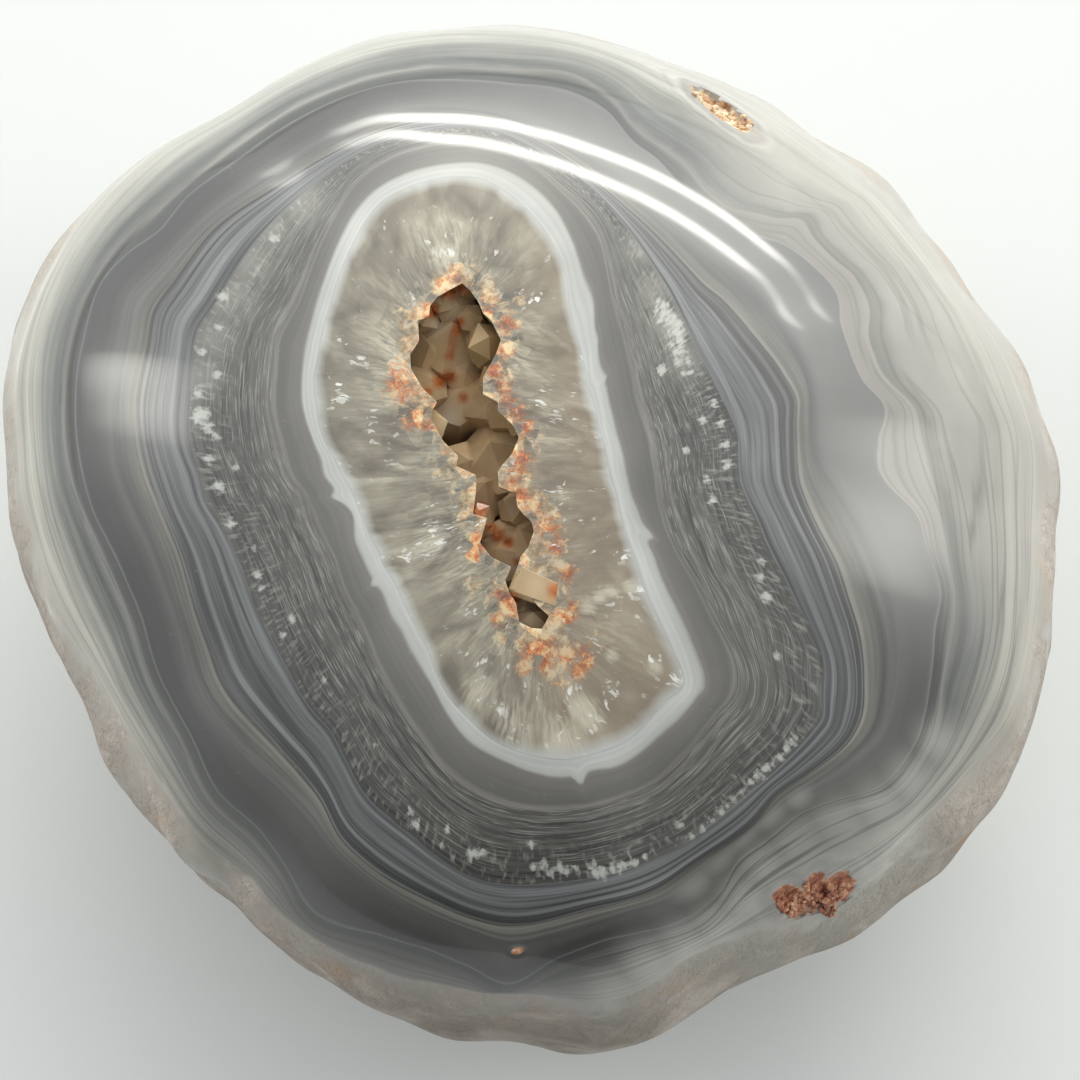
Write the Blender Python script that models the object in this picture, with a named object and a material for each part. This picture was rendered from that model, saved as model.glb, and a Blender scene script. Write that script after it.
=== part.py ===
# A small grey agate nodule that holds a quartz lined hollow.
# One side is ground and polished to a low dome, which cuts the hollow open.
# The other side keeps its natural skin and has a small flat spot to rest on.
# The origin is under the middle of the stone, level with the flat spot. +Z is up.

import math
import random

import bmesh
import bpy
from mathutils import Vector, noise

MM = 0.001

# Driving dimensions of the stone, in millimetres
WIDEST_LEVEL = 12.6
RISE_OF_DOME = 10.5
DEPTH_OF_BACK = 13.0
ROUNDNESS = 2.2
GROWTH_AXIS = Vector((-0.7, 1.9))
# Distance from the growth axis to the edge, every 10 degrees from +X towards +Y
EDGE_RADII = (
    18.7, 18.1, 17.1, 16.6, 16.2, 15.9, 15.7, 15.6, 15.7, 15.9, 16.1, 16.3,
    16.3, 16.4, 17.1, 17.5, 17.7, 17.6, 17.2, 17.0, 16.8, 16.6, 16.7, 17.3,
    17.8, 18.7, 19.2, 19.4, 20.0, 19.3, 19.4, 19.7, 19.7, 20.0, 19.5, 18.9,
)
BACK_RADIUS = 17.4
CAGE_CUTS = 21

# Swellings of the natural skin: wavelength and height
BROAD_SWELLING = (6.0, 0.6)
SMALL_SWELLING = (2.3, 0.3)
SKIN_STARTS = 0.93
SPOT_SHARE = 0.4

# The hollow's mouth in the polished dome, down its left side and up its right
MOUTH = (
    (-2.1, 5.4), (-3.0, 4.9), (-3.7, 4.0), (-3.5, 3.5), (-3.9, 2.7), (-3.5, 1.8),
    (-2.9, 1.3), (-3.2, 0.9), (-2.2, 0.8), (-2.4, -1.0), (-1.7, -1.3), (-1.9, -2.4),
    (-1.4, -2.6), (-1.6, -3.5), (-1.3, -3.9), (-0.9, -4.6), (-0.5, -4.1), (0.1, -3.0),
    (0.0, -2.6), (-0.4, -2.2), (-0.4, -1.8), (-1.0, -1.5), (-0.7, -1.0), (-0.4, -0.4),
    (-0.4, 0.4), (-1.0, 1.0), (-1.4, 1.5), (-1.5, 2.1), (-0.9, 3.4), (-1.3, 4.3),
)
SIDE_MOUTH = ((-0.4, -5.4), (-0.2, -6.0), (0.4, -6.2), (0.6, -5.8), (0.1, -5.5))
ABOVE_DOME = 25.0
INSIDE_POCKET = 20.6

# The hollow widens under its lip into a long pocket: level and share of full size
POCKET_MIDDLE = Vector((-1.6, 0.3))
POCKET_HALF_WIDTH = 3.2
POCKET_HALF_LENGTH = 7.8
POCKET_TURN = math.radians(12.0)
POCKET_LEVELS = ((21.3, 0.98), (19.0, 1.05), (16.8, 0.9), (15.2, 0.55))

# The crust of quartz crystals in the pocket
CLEARANCE = 0.32
CRUST_WALL = 0.55
CRUST_COLUMNS = 60
CRUST_ROWS = 7
CRYSTAL_HEIGHTS = (0.65, 1.35)
CELL_STAGGER = 0.16
FLOOR_SHARE = 0.5
RANDOM_SEED = 11

# Small pits near the edge: plan position, half sizes and turn in degrees
PITS = (
    ((6.5, 13.1), (1.3, 0.42, 0.6), -46.0),
    ((8.6, -13.8), (0.62, 0.45, 0.55), -5.0),
    ((9.4, -13.5), (0.36, 0.6, 0.5), -20.0),
    ((10.1, -13.3), (0.6, 0.42, 0.55), 20.0),
)


# Clearing and grouping
def clear_scene():
    for old in list(bpy.data.objects):
        bpy.data.objects.remove(old, do_unlink=True)


def new_collection(name):
    collection = bpy.data.collections.new(name)
    bpy.context.scene.collection.children.link(collection)
    return collection


def new_material(name, color, roughness, transmission=0.0):
    material = bpy.data.materials.new(name)
    material.use_nodes = True
    shader = material.node_tree.nodes["Principled BSDF"]
    shader.inputs["Base Color"].default_value = (*color, 1.0)
    shader.inputs["Roughness"].default_value = roughness
    shader.inputs["Metallic"].default_value = 0.0
    shader.inputs["Transmission Weight"].default_value = transmission
    return material


def object_from(bm, name, collection, material=None):
    bmesh.ops.recalc_face_normals(bm, faces=bm.faces)
    bmesh.ops.scale(bm, vec=(MM, MM, MM), verts=bm.verts)
    mesh = bpy.data.meshes.new(name)
    bm.to_mesh(mesh)
    bm.free()
    made = bpy.data.objects.new(name, mesh)
    collection.objects.link(made)
    if material:
        mesh.materials.append(material)
    return made


def cutter_from(bm, name, collection):
    cutter = object_from(bm, name, collection)
    cutter.hide_render = True
    cutter.display_type = "WIRE"
    return cutter


def cut(target, cutter):
    modifier = target.modifiers.new("cut " + cutter.name, "BOOLEAN")
    modifier.operation = "DIFFERENCE"
    modifier.solver = "EXACT"
    modifier.object = cutter


# Shape of the stone
def edge_radius(angle):
    """Distance from the growth axis to the stone's edge, smooth between the listed directions."""
    count = len(EDGE_RADII)
    place = math.degrees(angle) % 360.0 / 360.0 * count
    start = int(place)
    share = place - start
    before, here, after, beyond = (EDGE_RADII[(start + k) % count] for k in (-1, 0, 1, 2))
    slope_here = (after - before) / 2
    slope_after = (beyond - here) / 2
    rise = after - here
    curve = (3 * rise - 2 * slope_here - slope_after) + (slope_here + slope_after - 2 * rise) * share
    return here + slope_here * share + curve * share * share


def smooth_step(low, high, value):
    share = min(max((value - low) / (high - low), 0.0), 1.0)
    return share * share * (3 - 2 * share)


def swelling(point):
    broad_length, broad_height = BROAD_SWELLING
    small_length, small_height = SMALL_SWELLING
    broad = noise.noise(point / broad_length)
    small = noise.noise(point / small_length)
    return broad * broad_height + small * small_height


def skin_point(direction):
    """The stone's surface in a direction from its middle: a dome above, a rounder lumpy back below."""
    angle = math.atan2(direction.y, direction.x)
    reach = math.hypot(direction.x, direction.y) ** (2 / ROUNDNESS)
    lift = abs(direction.z) ** (2 / ROUNDNESS)
    if direction.z >= 0:
        plan = GROWTH_AXIS.copy()
        radius = edge_radius(angle)
        height = WIDEST_LEVEL + RISE_OF_DOME * lift
        skin = smooth_step(SKIN_STARTS, 1.0, reach)
    else:
        outer = reach * reach
        plan = GROWTH_AXIS * outer
        radius = edge_radius(angle) * outer + BACK_RADIUS * (1 - outer)
        height = WIDEST_LEVEL - DEPTH_OF_BACK * lift
        skin = SPOT_SHARE + (1 - SPOT_SHARE) * outer
    point = Vector((
        plan.x + radius * reach * math.cos(angle),
        plan.y + radius * reach * math.sin(angle),
        height,
    ))
    return point + direction * swelling(point) * skin


def dome_height(x, y):
    arm = Vector((x, y)) - GROWTH_AXIS
    reach = arm.length / edge_radius(math.atan2(arm.y, arm.x))
    return WIDEST_LEVEL + RISE_OF_DOME * (1 - reach**ROUNDNESS) ** (1 / ROUNDNESS)


def make_nodule(collection, material):
    """An even ball of quads takes the stone's shape, and a plane cuts its resting spot."""
    bm = bmesh.new()
    bmesh.ops.create_cube(bm, size=2.0)
    bmesh.ops.subdivide_edges(bm, edges=bm.edges, cuts=CAGE_CUTS, use_grid_fill=True)
    for vertex in bm.verts:
        even = Vector(math.tan(part * math.pi / 4) for part in vertex.co)
        vertex.co = skin_point(even.normalized())
    shape = bm.verts[:] + bm.edges[:] + bm.faces[:]
    bmesh.ops.bisect_plane(
        bm, geom=shape, dist=1e-6, plane_co=(0, 0, 0), plane_no=(0, 0, -1), clear_outer=True
    )
    open_edges = [edge for edge in bm.edges if edge.is_boundary]
    bmesh.ops.holes_fill(bm, edges=open_edges, sides=0)
    nodule = object_from(bm, "agate_nodule", collection, material)
    nodule.data.shade_smooth()
    nodule.data.set_sharp_from_angle(angle=math.radians(35))
    return nodule


# Lofts
def loft(bm, rings, close_start=True, close_end=True):
    """Joins rings of equally many points with four sided faces, and returns their vertices."""
    levels = [[bm.verts.new(point) for point in ring] for ring in rings]
    count = len(levels[0])
    for upper, lower in zip(levels, levels[1:]):
        for here in range(count):
            after = (here + 1) % count
            bm.faces.new((upper[here], upper[after], lower[after], lower[here]))
    if close_start:
        bm.faces.new(levels[0])
    if close_end:
        bm.faces.new(levels[-1])
    return levels


def pocket_point(turn, half_width, half_length, height):
    across = half_width * math.cos(turn)
    along = half_length * math.sin(turn)
    return Vector((
        POCKET_MIDDLE.x + across * math.cos(POCKET_TURN) - along * math.sin(POCKET_TURN),
        POCKET_MIDDLE.y + across * math.sin(POCKET_TURN) + along * math.cos(POCKET_TURN),
        height,
    ))


def pocket_size(height, inset=0.0):
    """Half width and half length of the pocket at a level, less an inset."""
    levels = sorted(POCKET_LEVELS)
    height = min(max(height, levels[0][0]), levels[-1][0])
    for (low, low_share), (high, high_share) in zip(levels, levels[1:]):
        if low <= height <= high:
            share = low_share + (high_share - low_share) * (height - low) / (high - low)
    return POCKET_HALF_WIDTH * share - inset, POCKET_HALF_LENGTH * share - inset


def pocket_ring(height, inset=0.0):
    width, length = pocket_size(height, inset)
    turns = [2 * math.pi * column / CRUST_COLUMNS for column in range(CRUST_COLUMNS)]
    return [pocket_point(turn, width, length, height) for turn in turns]


def make_pocket_cutter(collection):
    bm = bmesh.new()
    loft(bm, [pocket_ring(height) for height, _ in POCKET_LEVELS])
    return cutter_from(bm, "pocket_cutter", collection)


def make_mouth_cutter(name, outline, collection):
    """A straight shaft from above the dome into the pocket."""
    bm = bmesh.new()
    loft(bm, [[Vector((x, y, height)) for x, y in outline] for height in (ABOVE_DOME, INSIDE_POCKET)])
    return cutter_from(bm, name, collection)


def make_pit_cutter(number, place, half_sizes, turn, collection):
    bm = bmesh.new()
    bmesh.ops.create_icosphere(bm, subdivisions=1, radius=1.0)
    bmesh.ops.scale(bm, vec=half_sizes, verts=bm.verts)
    cutter = cutter_from(bm, f"pit_cutter_{number}", collection)
    x, y = place
    cutter.location = (x * MM, y * MM, dome_height(x, y) * MM)
    cutter.rotation_euler.z = math.radians(turn)
    return cutter


# The crust of crystals
def make_crust(collection, material):
    """A bowl whose inner wall is a brickwork of cells, each raised to a six sided crystal tip."""
    draw = random.Random(RANDOM_SEED)
    bm = bmesh.new()
    top = POCKET_LEVELS[0][0] - CLEARANCE
    bottom = POCKET_LEVELS[-1][0] + CLEARANCE
    floor = bottom + CRUST_WALL
    outer_heights = [top] + [level for level, _ in POCKET_LEVELS[1:-1]] + [bottom]
    rings = [pocket_ring(height, CLEARANCE) for height in reversed(outer_heights)]
    row_height = (top - floor) / CRUST_ROWS
    for row in range(CRUST_ROWS + 1):
        height = top - row * row_height
        ring = pocket_ring(height, CLEARANCE + CRUST_WALL)
        if 0 < row < CRUST_ROWS:
            for column, point in enumerate(ring):
                side = 1 if (row + column) % 2 else -1
                point.z += side * CELL_STAGGER * row_height
        rings.append(ring)
    floor_ring = []
    middle = pocket_point(0, 0, 0, floor)
    for point in rings[-1]:
        floor_ring.append(middle.lerp(point, FLOOR_SHARE) - Vector((0, 0, 0.15)))
    rings.append(floor_ring)
    levels = loft(bm, rings, close_end=False)
    inner = levels[len(outer_heights):]

    merged = []
    for row, (upper, lower) in enumerate(zip(inner, inner[1:])):
        for column in range(CRUST_COLUMNS):
            if (row + column) % 2 == 0:
                merged.append(bm.edges.get((upper[column], lower[column])))
    bmesh.ops.dissolve_edges(bm, edges=merged, use_verts=False)
    wall = set(vertex for ring in inner for vertex in ring)
    cells = [face for face in bm.faces if len(face.verts) == 6 and all(v in wall for v in face.verts)]

    last = inner[-1]
    half = CRUST_COLUMNS // 2
    for column in range(half):
        corners = (last[column], last[column + 1], last[-column - 1], last[-column])
        distinct = list(dict.fromkeys(corners))
        cells.append(bm.faces.new(distinct))

    bmesh.ops.recalc_face_normals(bm, faces=bm.faces)
    faces = [(face, face.normal.copy(), face.calc_center_median()) for face in cells]
    tips = bmesh.ops.poke(bm, faces=[face for face, _, _ in faces])["verts"]
    quarter = math.pi / 2
    for tip in tips:
        _, normal, _ = min(faces, key=lambda known: (known[2] - tip.co).length_squared)
        arm = tip.co.xy - POCKET_MIDDLE
        along = arm.y * math.cos(POCKET_TURN) - arm.x * math.sin(POCKET_TURN)
        room = math.cos(quarter * min(abs(along) / POCKET_HALF_LENGTH, 1.0))
        height = draw.uniform(*CRYSTAL_HEIGHTS) * (0.3 + 0.7 * room)
        lean = Vector(draw.uniform(-0.15, 0.15) for _ in range(3))
        tip.co += (normal + lean) * height
        tip.co.z = min(tip.co.z, top)
    crust = object_from(bm, "crystal_crust", collection, material)
    crust.data.shade_flat()
    return crust


clear_scene()
parts = new_collection("agate_geode")
cutters = new_collection("cutters")
cutters.hide_render = True
chalcedony = new_material("banded_chalcedony", (0.42, 0.41, 0.38), 0.2)
quartz = new_material("quartz_crystal", (0.72, 0.66, 0.58), 0.05, transmission=0.6)

nodule = make_nodule(parts, chalcedony)
cut(nodule, make_pocket_cutter(cutters))
cut(nodule, make_mouth_cutter("mouth_cutter", MOUTH, cutters))
cut(nodule, make_mouth_cutter("side_mouth_cutter", SIDE_MOUTH, cutters))
for number, (place, half_sizes, turn) in enumerate(PITS):
    cut(nodule, make_pit_cutter(number, place, half_sizes, turn, cutters))
make_crust(parts, quartz)
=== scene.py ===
# A small agate nodule, polished to a low dome across a quartz lined hollow.
# Everything is in metres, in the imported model's frame: +Z up, the origin under the stone.

import math
import random

import bmesh
import bpy
import numpy as np
from mathutils import Matrix, Vector, noise


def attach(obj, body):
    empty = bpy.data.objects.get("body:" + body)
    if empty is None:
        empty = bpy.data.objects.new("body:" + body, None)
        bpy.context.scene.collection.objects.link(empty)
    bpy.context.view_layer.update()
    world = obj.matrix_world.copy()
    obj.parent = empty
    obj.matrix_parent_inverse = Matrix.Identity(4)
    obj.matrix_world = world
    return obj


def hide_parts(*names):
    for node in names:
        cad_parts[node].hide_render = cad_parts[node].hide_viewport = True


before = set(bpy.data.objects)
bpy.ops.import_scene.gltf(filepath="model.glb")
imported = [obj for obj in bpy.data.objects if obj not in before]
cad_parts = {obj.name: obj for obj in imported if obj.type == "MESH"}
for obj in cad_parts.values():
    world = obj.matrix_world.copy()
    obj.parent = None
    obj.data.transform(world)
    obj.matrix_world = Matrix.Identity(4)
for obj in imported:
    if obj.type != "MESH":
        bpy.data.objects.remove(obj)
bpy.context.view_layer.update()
MM = 0.001
scene = bpy.context.scene


# The camera stands 74 degrees above the floor and close, as for a macro photograph.
# It is made first, because the growth bands are drawn where its picture shows them.
CAMERA_ELEVATION = math.radians(74)
CAMERA_LENS_MM = 150.0
CAMERA_SENSOR_MM = 36.0
PHOTO_PIXELS = 1080
PIXELS_PER_MM = 29.0
STONE_MIDDLE_SHIFT = (9.5, 11.0)
WIDEST_LEVEL = 12.6

pixels_per_sensor_mm = PHOTO_PIXELS / CAMERA_SENSOR_MM
camera_distance = pixels_per_sensor_mm * CAMERA_LENS_MM / PIXELS_PER_MM
view_right = np.array((1.0, 0.0, 0.0))
view_up = np.array((0.0, math.sin(CAMERA_ELEVATION), math.cos(CAMERA_ELEVATION)))
view_back = np.array((0.0, -math.cos(CAMERA_ELEVATION), math.sin(CAMERA_ELEVATION)))
shift_right, shift_down = (pixels / PIXELS_PER_MM for pixels in STONE_MIDDLE_SHIFT)
camera_aim = np.array((0.0, 0.0, WIDEST_LEVEL)) + view_right * shift_right - view_up * shift_down
camera_place = camera_aim + view_back * camera_distance

camera_data = bpy.data.cameras.new("camera")
camera_data.lens = CAMERA_LENS_MM
camera_data.sensor_width = CAMERA_SENSOR_MM
camera_data.clip_start = 0.01
camera = bpy.data.objects.new("camera", camera_data)
camera.location = Vector(camera_place) * MM
camera.rotation_euler = (math.pi / 2 - CAMERA_ELEVATION, 0.0, 0.0)
scene.collection.objects.link(camera)
scene.camera = camera


def sight_lines(across, down):
    """The directions in which the camera sees these points of the photograph, in its pixels."""
    across = (np.asarray(across, float) - PHOTO_PIXELS / 2) / pixels_per_sensor_mm
    down = (np.asarray(down, float) - PHOTO_PIXELS / 2) / pixels_per_sensor_mm
    lines = across[:, None] * view_right - down[:, None] * view_up - CAMERA_LENS_MM * view_back
    return lines / np.linalg.norm(lines, axis=1, keepdims=True)


def photo_pixels(points):
    """Where the camera sees these points, in the photograph's pixels."""
    arms = points - camera_place
    scale = pixels_per_sensor_mm * CAMERA_LENS_MM / -(arms @ view_back)
    middle = PHOTO_PIXELS / 2
    return np.stack((middle + arms @ view_right * scale, middle - arms @ view_up * scale), axis=1)


def marks_seen(points, marks):
    """How strongly points lie in the nearest of some round marks: pixels across, down and in size."""
    seen = photo_pixels(points)
    strength = np.zeros(len(points))
    for across, down, size in marks:
        distance = np.hypot(seen[:, 0] - across, seen[:, 1] - down) / size
        strength = np.maximum(strength, np.exp(-distance**2))
    return strength


# The stone: one nodule of banded chalcedony, laid down ring by ring on the wall of a gas bubble.
# Its top is ground and polished to a dome, and its back keeps the dull natural skin.
# The mesh is a grid wrapped round the stone, with a row of points for each growth ring.
RISE_OF_DOME = 10.5
DEPTH_OF_BACK = 13.0
ROUNDNESS = 2.2
GROWTH_AXIS = (-0.7, 1.9)
EDGE_RADII = (
    18.7, 18.1, 17.1, 16.6, 16.2, 15.9, 15.7, 15.6, 15.7, 15.9, 16.1, 16.3,
    16.3, 16.4, 17.1, 17.5, 17.7, 17.6, 17.2, 17.0, 16.8, 16.6, 16.7, 17.3,
    17.8, 18.7, 19.2, 19.4, 20.0, 19.3, 19.4, 19.7, 19.7, 20.0, 19.5, 18.9,
)
BACK_RADIUS = 17.4
BROAD_SWELLING = (6.0, 0.6)
SMALL_SWELLING = (2.3, 0.3)
SKIN_STARTS = 0.93
SPOT_SHARE = 0.4


def edge_radius(angle):
    """Distance from the growth axis to the stone's edge, smooth between the listed directions."""
    radii = np.array(EDGE_RADII)
    place = np.degrees(angle) % 360.0 / 360.0 * len(radii)
    start = place.astype(int)
    share = place - start
    before, here, after, beyond = (radii[(start + k) % len(radii)] for k in (-1, 0, 1, 2))
    slope_here = (after - before) / 2
    slope_after = (beyond - here) / 2
    rise = after - here
    curve = (3 * rise - 2 * slope_here - slope_after) + (slope_here + slope_after - 2 * rise) * share
    return here + slope_here * share + curve * share * share


def smooth_step(low, high, value):
    share = np.clip((value - low) / (high - low), 0.0, 1.0)
    return share * share * (3 - 2 * share)


def noise_at(points, wavelength):
    return np.array([noise.noise(Vector(point) / wavelength) for point in points])


def plan_polar(x, y):
    """Angle about the growth axis, and reach: 0 on the axis and 1 at the stone's edge."""
    x, y = x - GROWTH_AXIS[0], y - GROWTH_AXIS[1]
    angle = np.arctan2(y, x)
    return angle, np.hypot(x, y) / edge_radius(angle)


def skin_points(angle, slope):
    """The stone's surface: slope is 0 at the top of the dome, 1 at the edge and 2 underneath."""
    slope = slope * math.pi / 2
    out, rise = np.sin(slope), np.cos(slope)
    reach = out ** (2 / ROUNDNESS)
    lift = np.abs(rise) ** (2 / ROUNDNESS)
    top = rise >= 0
    outer = np.where(top, 1.0, reach * reach)
    radius = np.where(top, edge_radius(angle), edge_radius(angle) * outer + BACK_RADIUS * (1 - outer))
    height = WIDEST_LEVEL + lift * np.where(top, RISE_OF_DOME, -DEPTH_OF_BACK)
    points = np.stack((
        GROWTH_AXIS[0] * outer + radius * reach * np.cos(angle),
        GROWTH_AXIS[1] * outer + radius * reach * np.sin(angle),
        height,
    ), axis=1)
    skin = np.where(top, smooth_step(SKIN_STARTS, 1.0, reach), SPOT_SHARE + (1 - SPOT_SHARE) * outer)
    swelling = np.zeros(len(points))
    rough = skin > 0
    for wavelength, size in (BROAD_SWELLING, SMALL_SWELLING):
        swelling[rough] += noise_at(points[rough], wavelength) * size
    outward = np.stack((out * np.cos(angle), out * np.sin(angle), rise), axis=1)
    return points + outward * (swelling * skin)[:, None]


def slope_of(reach):
    return np.arcsin(np.minimum(reach, 1.0) ** (ROUNDNESS / 2)) / (math.pi / 2)


def dome_height(x, y):
    _, reach = plan_polar(x, y)
    return WIDEST_LEVEL + RISE_OF_DOME * np.maximum(1 - reach**ROUNDNESS, 0) ** (1 / ROUNDNESS)


def on_dome(across, down):
    """Where the camera's sight lines through these photograph pixels first meet the smooth dome."""
    lines = sight_lines(across, down)
    start = (camera_place[2] - WIDEST_LEVEL - RISE_OF_DOME) / -lines[:, 2]
    end = (camera_place[2] - WIDEST_LEVEL) / -lines[:, 2]

    def above(travel):
        place = camera_place + lines * travel[:, None]
        _, reach = plan_polar(place[:, 0], place[:, 1])
        return reach**ROUNDNESS + ((place[:, 2] - WIDEST_LEVEL) / RISE_OF_DOME) ** ROUNDNESS - 1

    near, far = start.copy(), end.copy()
    found = np.zeros(len(lines), bool)
    steps = 48
    for step in range(1, steps + 1):
        travel = start + (end - start) * step / steps
        entered = ~found & (above(travel) < 0)
        far[entered] = travel[entered]
        near[~found & ~entered] = travel[~found & ~entered]
        found |= entered
    far[~found] = near[~found]
    for _ in range(24):
        middle = (near + far) / 2
        inside = above(middle) < 0
        far = np.where(inside, middle, far)
        near = np.where(inside, near, middle)
    return camera_place + lines * far[:, None]


# Growth lines as the photograph shows them: pixels out from one point, by angle in degrees
BAND_CENTRE = (510, 475)
QUARTZ_EDGE = {
    0: 100, 20: 99, 30: 102, 40: 110, 45: 114, 50: 118, 55: 130, 60: 143, 65: 156, 70: 176, 75: 212,
    80: 238, 85: 260, 90: 280, 95: 296, 100: 303, 105: 305, 110: 305, 115: 302, 120: 291, 125: 277,
    130: 264, 135: 251, 141: 239, 149: 225, 155: 217, 160: 206, 165: 198, 170: 188, 175: 176,
    180: 168, 185: 160, 190: 156, 200: 153, 210: 152, 215: 155, 225: 160, 230: 166, 240: 183,
    245: 194, 250: 214, 255: 232, 260: 246, 265: 262, 275: 282, 280: 289, 290: 291, 295: 289,
    300: 281, 305: 274, 310: 270, 311: 264, 313: 238, 315: 216, 317: 196, 320: 176, 325: 156,
    330: 138, 335: 126, 340: 118, 350: 108,
}
WHITE_BAND_EDGE = {
    0: 117, 10: 115.5, 20: 115, 30: 119, 35: 122, 40: 127, 43: 131, 44: 132, 45.5: 138, 47: 139,
    50: 142, 55: 154, 57: 162, 60: 171, 65: 196, 70: 214, 75: 242, 80: 268, 85: 288, 90: 303,
    95: 313, 100: 317, 105: 319, 110: 319, 115: 316, 120: 307, 125: 293, 130: 279.5, 135: 267,
    141: 254, 149: 240, 155: 230, 160: 222, 170: 200, 175: 190, 180: 186, 185: 177, 187: 180,
    189: 172, 205: 169, 215: 172, 217: 173, 218.5: 178, 220: 174, 230: 184, 235: 190, 240: 201,
    245: 212, 250: 226, 255: 246, 260: 266, 270: 289, 275: 300, 280: 307, 281.5: 308, 283: 318,
    284.5: 308, 290: 310, 295: 307, 300: 300, 305: 296, 310: 290, 313: 286, 314: 280, 316: 262,
    318: 242, 320: 224, 325: 188, 330: 168, 335: 154, 336: 157, 340: 142, 345: 132, 350: 124,
}
GREY_BAND_EDGE = {
    0: 146, 20: 144, 30: 148, 40: 160, 50: 178, 60: 206, 65: 230, 70: 258, 75: 275, 80: 290,
    85: 308, 90: 323, 95: 333, 105: 340, 110: 340, 118: 330, 125: 310, 130: 297, 135: 284, 140: 274,
    150: 268, 155: 258, 165: 244, 170: 234, 180: 218, 185: 206, 195: 199, 205: 195, 215: 202,
    225: 210, 230: 218, 235: 230, 245: 254, 250: 270, 260: 306, 265: 319, 275: 334, 280: 338,
    290: 340, 295: 339, 300: 332, 305: 324, 310: 316, 317: 308, 320: 292, 325: 246, 330: 212,
    335: 184, 340: 168, 345: 158, 350: 151,
}
FEATHER_EDGE = {
    0: 229, 10: 230, 20: 225, 30: 224, 40: 230, 50: 244, 55: 252, 65: 274, 75: 300, 85: 325,
    90: 338, 95: 347, 105: 354, 115: 355, 125: 350, 135: 346, 145: 342, 150: 341, 155: 344,
    160: 338, 165: 332, 175: 322, 180: 310, 185: 304, 190: 292, 200: 284, 210: 287, 220: 294,
    230: 307, 235: 312, 240: 328, 245: 348, 255: 374, 260: 390, 265: 404, 275: 410, 290: 410,
    295: 408, 300: 403, 305: 399, 320: 395, 322: 394, 325: 380, 330: 358, 335: 320, 340: 290,
    345: 266, 350: 250, 355: 236,
}
CREAM_BAND_START = {
    0: 290, 10: 292, 15: 298, 20: 293, 30: 282, 40: 276, 45: 272, 50: 274, 60: 283, 70: 298,
    80: 322, 90: 346, 100: 362, 110: 368, 120: 368, 130: 372, 140: 384, 150: 387, 155: 391,
    160: 384, 170: 378, 175: 371, 180: 362, 185: 352, 195: 340, 205: 344, 210: 348, 215: 355,
    230: 360, 235: 366, 240: 378, 245: 402, 250: 416, 260: 436, 265: 446, 270: 452, 280: 443,
    290: 441, 295: 432, 305: 426, 310: 418, 315: 424, 322: 432, 325: 429, 330: 410, 335: 388,
    340: 362, 345: 340, 350: 316, 355: 299,
}
CREAM_BAND_EDGE = {
    0: 314, 20: 314, 30: 308, 40: 300, 50: 296, 60: 300, 70: 314, 80: 334, 90: 356, 100: 372,
    110: 380, 120: 380, 130: 384, 140: 396, 150: 408, 155: 418, 160: 412, 170: 404, 180: 390,
    185: 378, 195: 362, 205: 364, 215: 382, 225: 386, 235: 390, 240: 398, 245: 414, 255: 438,
    265: 458, 270: 468, 275: 462, 285: 452, 290: 452, 300: 436, 310: 428, 320: 444, 325: 450,
    330: 440, 340: 406, 345: 382, 350: 358, 355: 334,
}
PALE_LINE = {
    0: 370, 5: 369, 10: 380, 15: 365, 20: 361, 25: 364, 29: 373, 35: 367, 40: 357, 45: 340, 50: 334,
    55: 333, 60: 337, 65: 348, 70: 356, 75: 376, 80: 386, 90: 391, 100: 401, 105: 407, 120: 414,
    130: 416, 140: 426, 145: 427, 150: 442, 155: 452, 160: 449, 170: 441, 180: 427, 185: 418,
    190: 406, 200: 395, 210: 404, 220: 413, 227: 430, 235: 435, 240: 450, 245: 476, 255: 478,
    260: 481, 265: 492, 270: 508, 275: 487, 280: 476, 294: 474, 297: 466, 300: 450, 305: 446,
    310: 445, 315: 460, 320: 484, 327: 485, 330: 478, 335: 465, 340: 451, 345: 445, 350: 423,
    355: 405, 358: 380,
}
SCALLOP_LINE = {
    0: 425, 5: 416, 10: 410, 12: 400, 15: 388, 18: 385, 22: 388, 24: 396, 30: 399, 33: 392, 38: 387,
    41: 390, 44: 372, 47: 360, 50: 348, 55: 346, 60: 356, 65: 361, 71: 372, 74: 386, 80: 403,
    90: 406, 100: 415, 110: 422, 120: 427, 130: 429, 140: 439, 150: 455, 160: 462, 170: 454,
    180: 440, 190: 418, 200: 408, 210: 417, 220: 427, 227: 443, 235: 448, 240: 462, 245: 488,
    255: 491, 265: 504, 270: 520, 275: 499, 285: 488, 294: 487, 300: 463, 310: 459, 315: 474,
    320: 498, 327: 500, 335: 480, 345: 462, 350: 445, 355: 435, 358: 429,
}
GROWTH_LINES = (
    QUARTZ_EDGE, WHITE_BAND_EDGE, GREY_BAND_EDGE, FEATHER_EDGE, CREAM_BAND_START,
    CREAM_BAND_EDGE, PALE_LINE, SCALLOP_LINE,
)
# The layer count at each line: 1 at the quartz, 8 at the scallops, 9 at the natural skin
ROWS_BETWEEN_LINES = (8, 6, 26, 16, 6, 9, 4)
SPOKES = 540
CUSP_SOFTNESS = 0.4
POLISH_ENDS = 0.965


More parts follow.
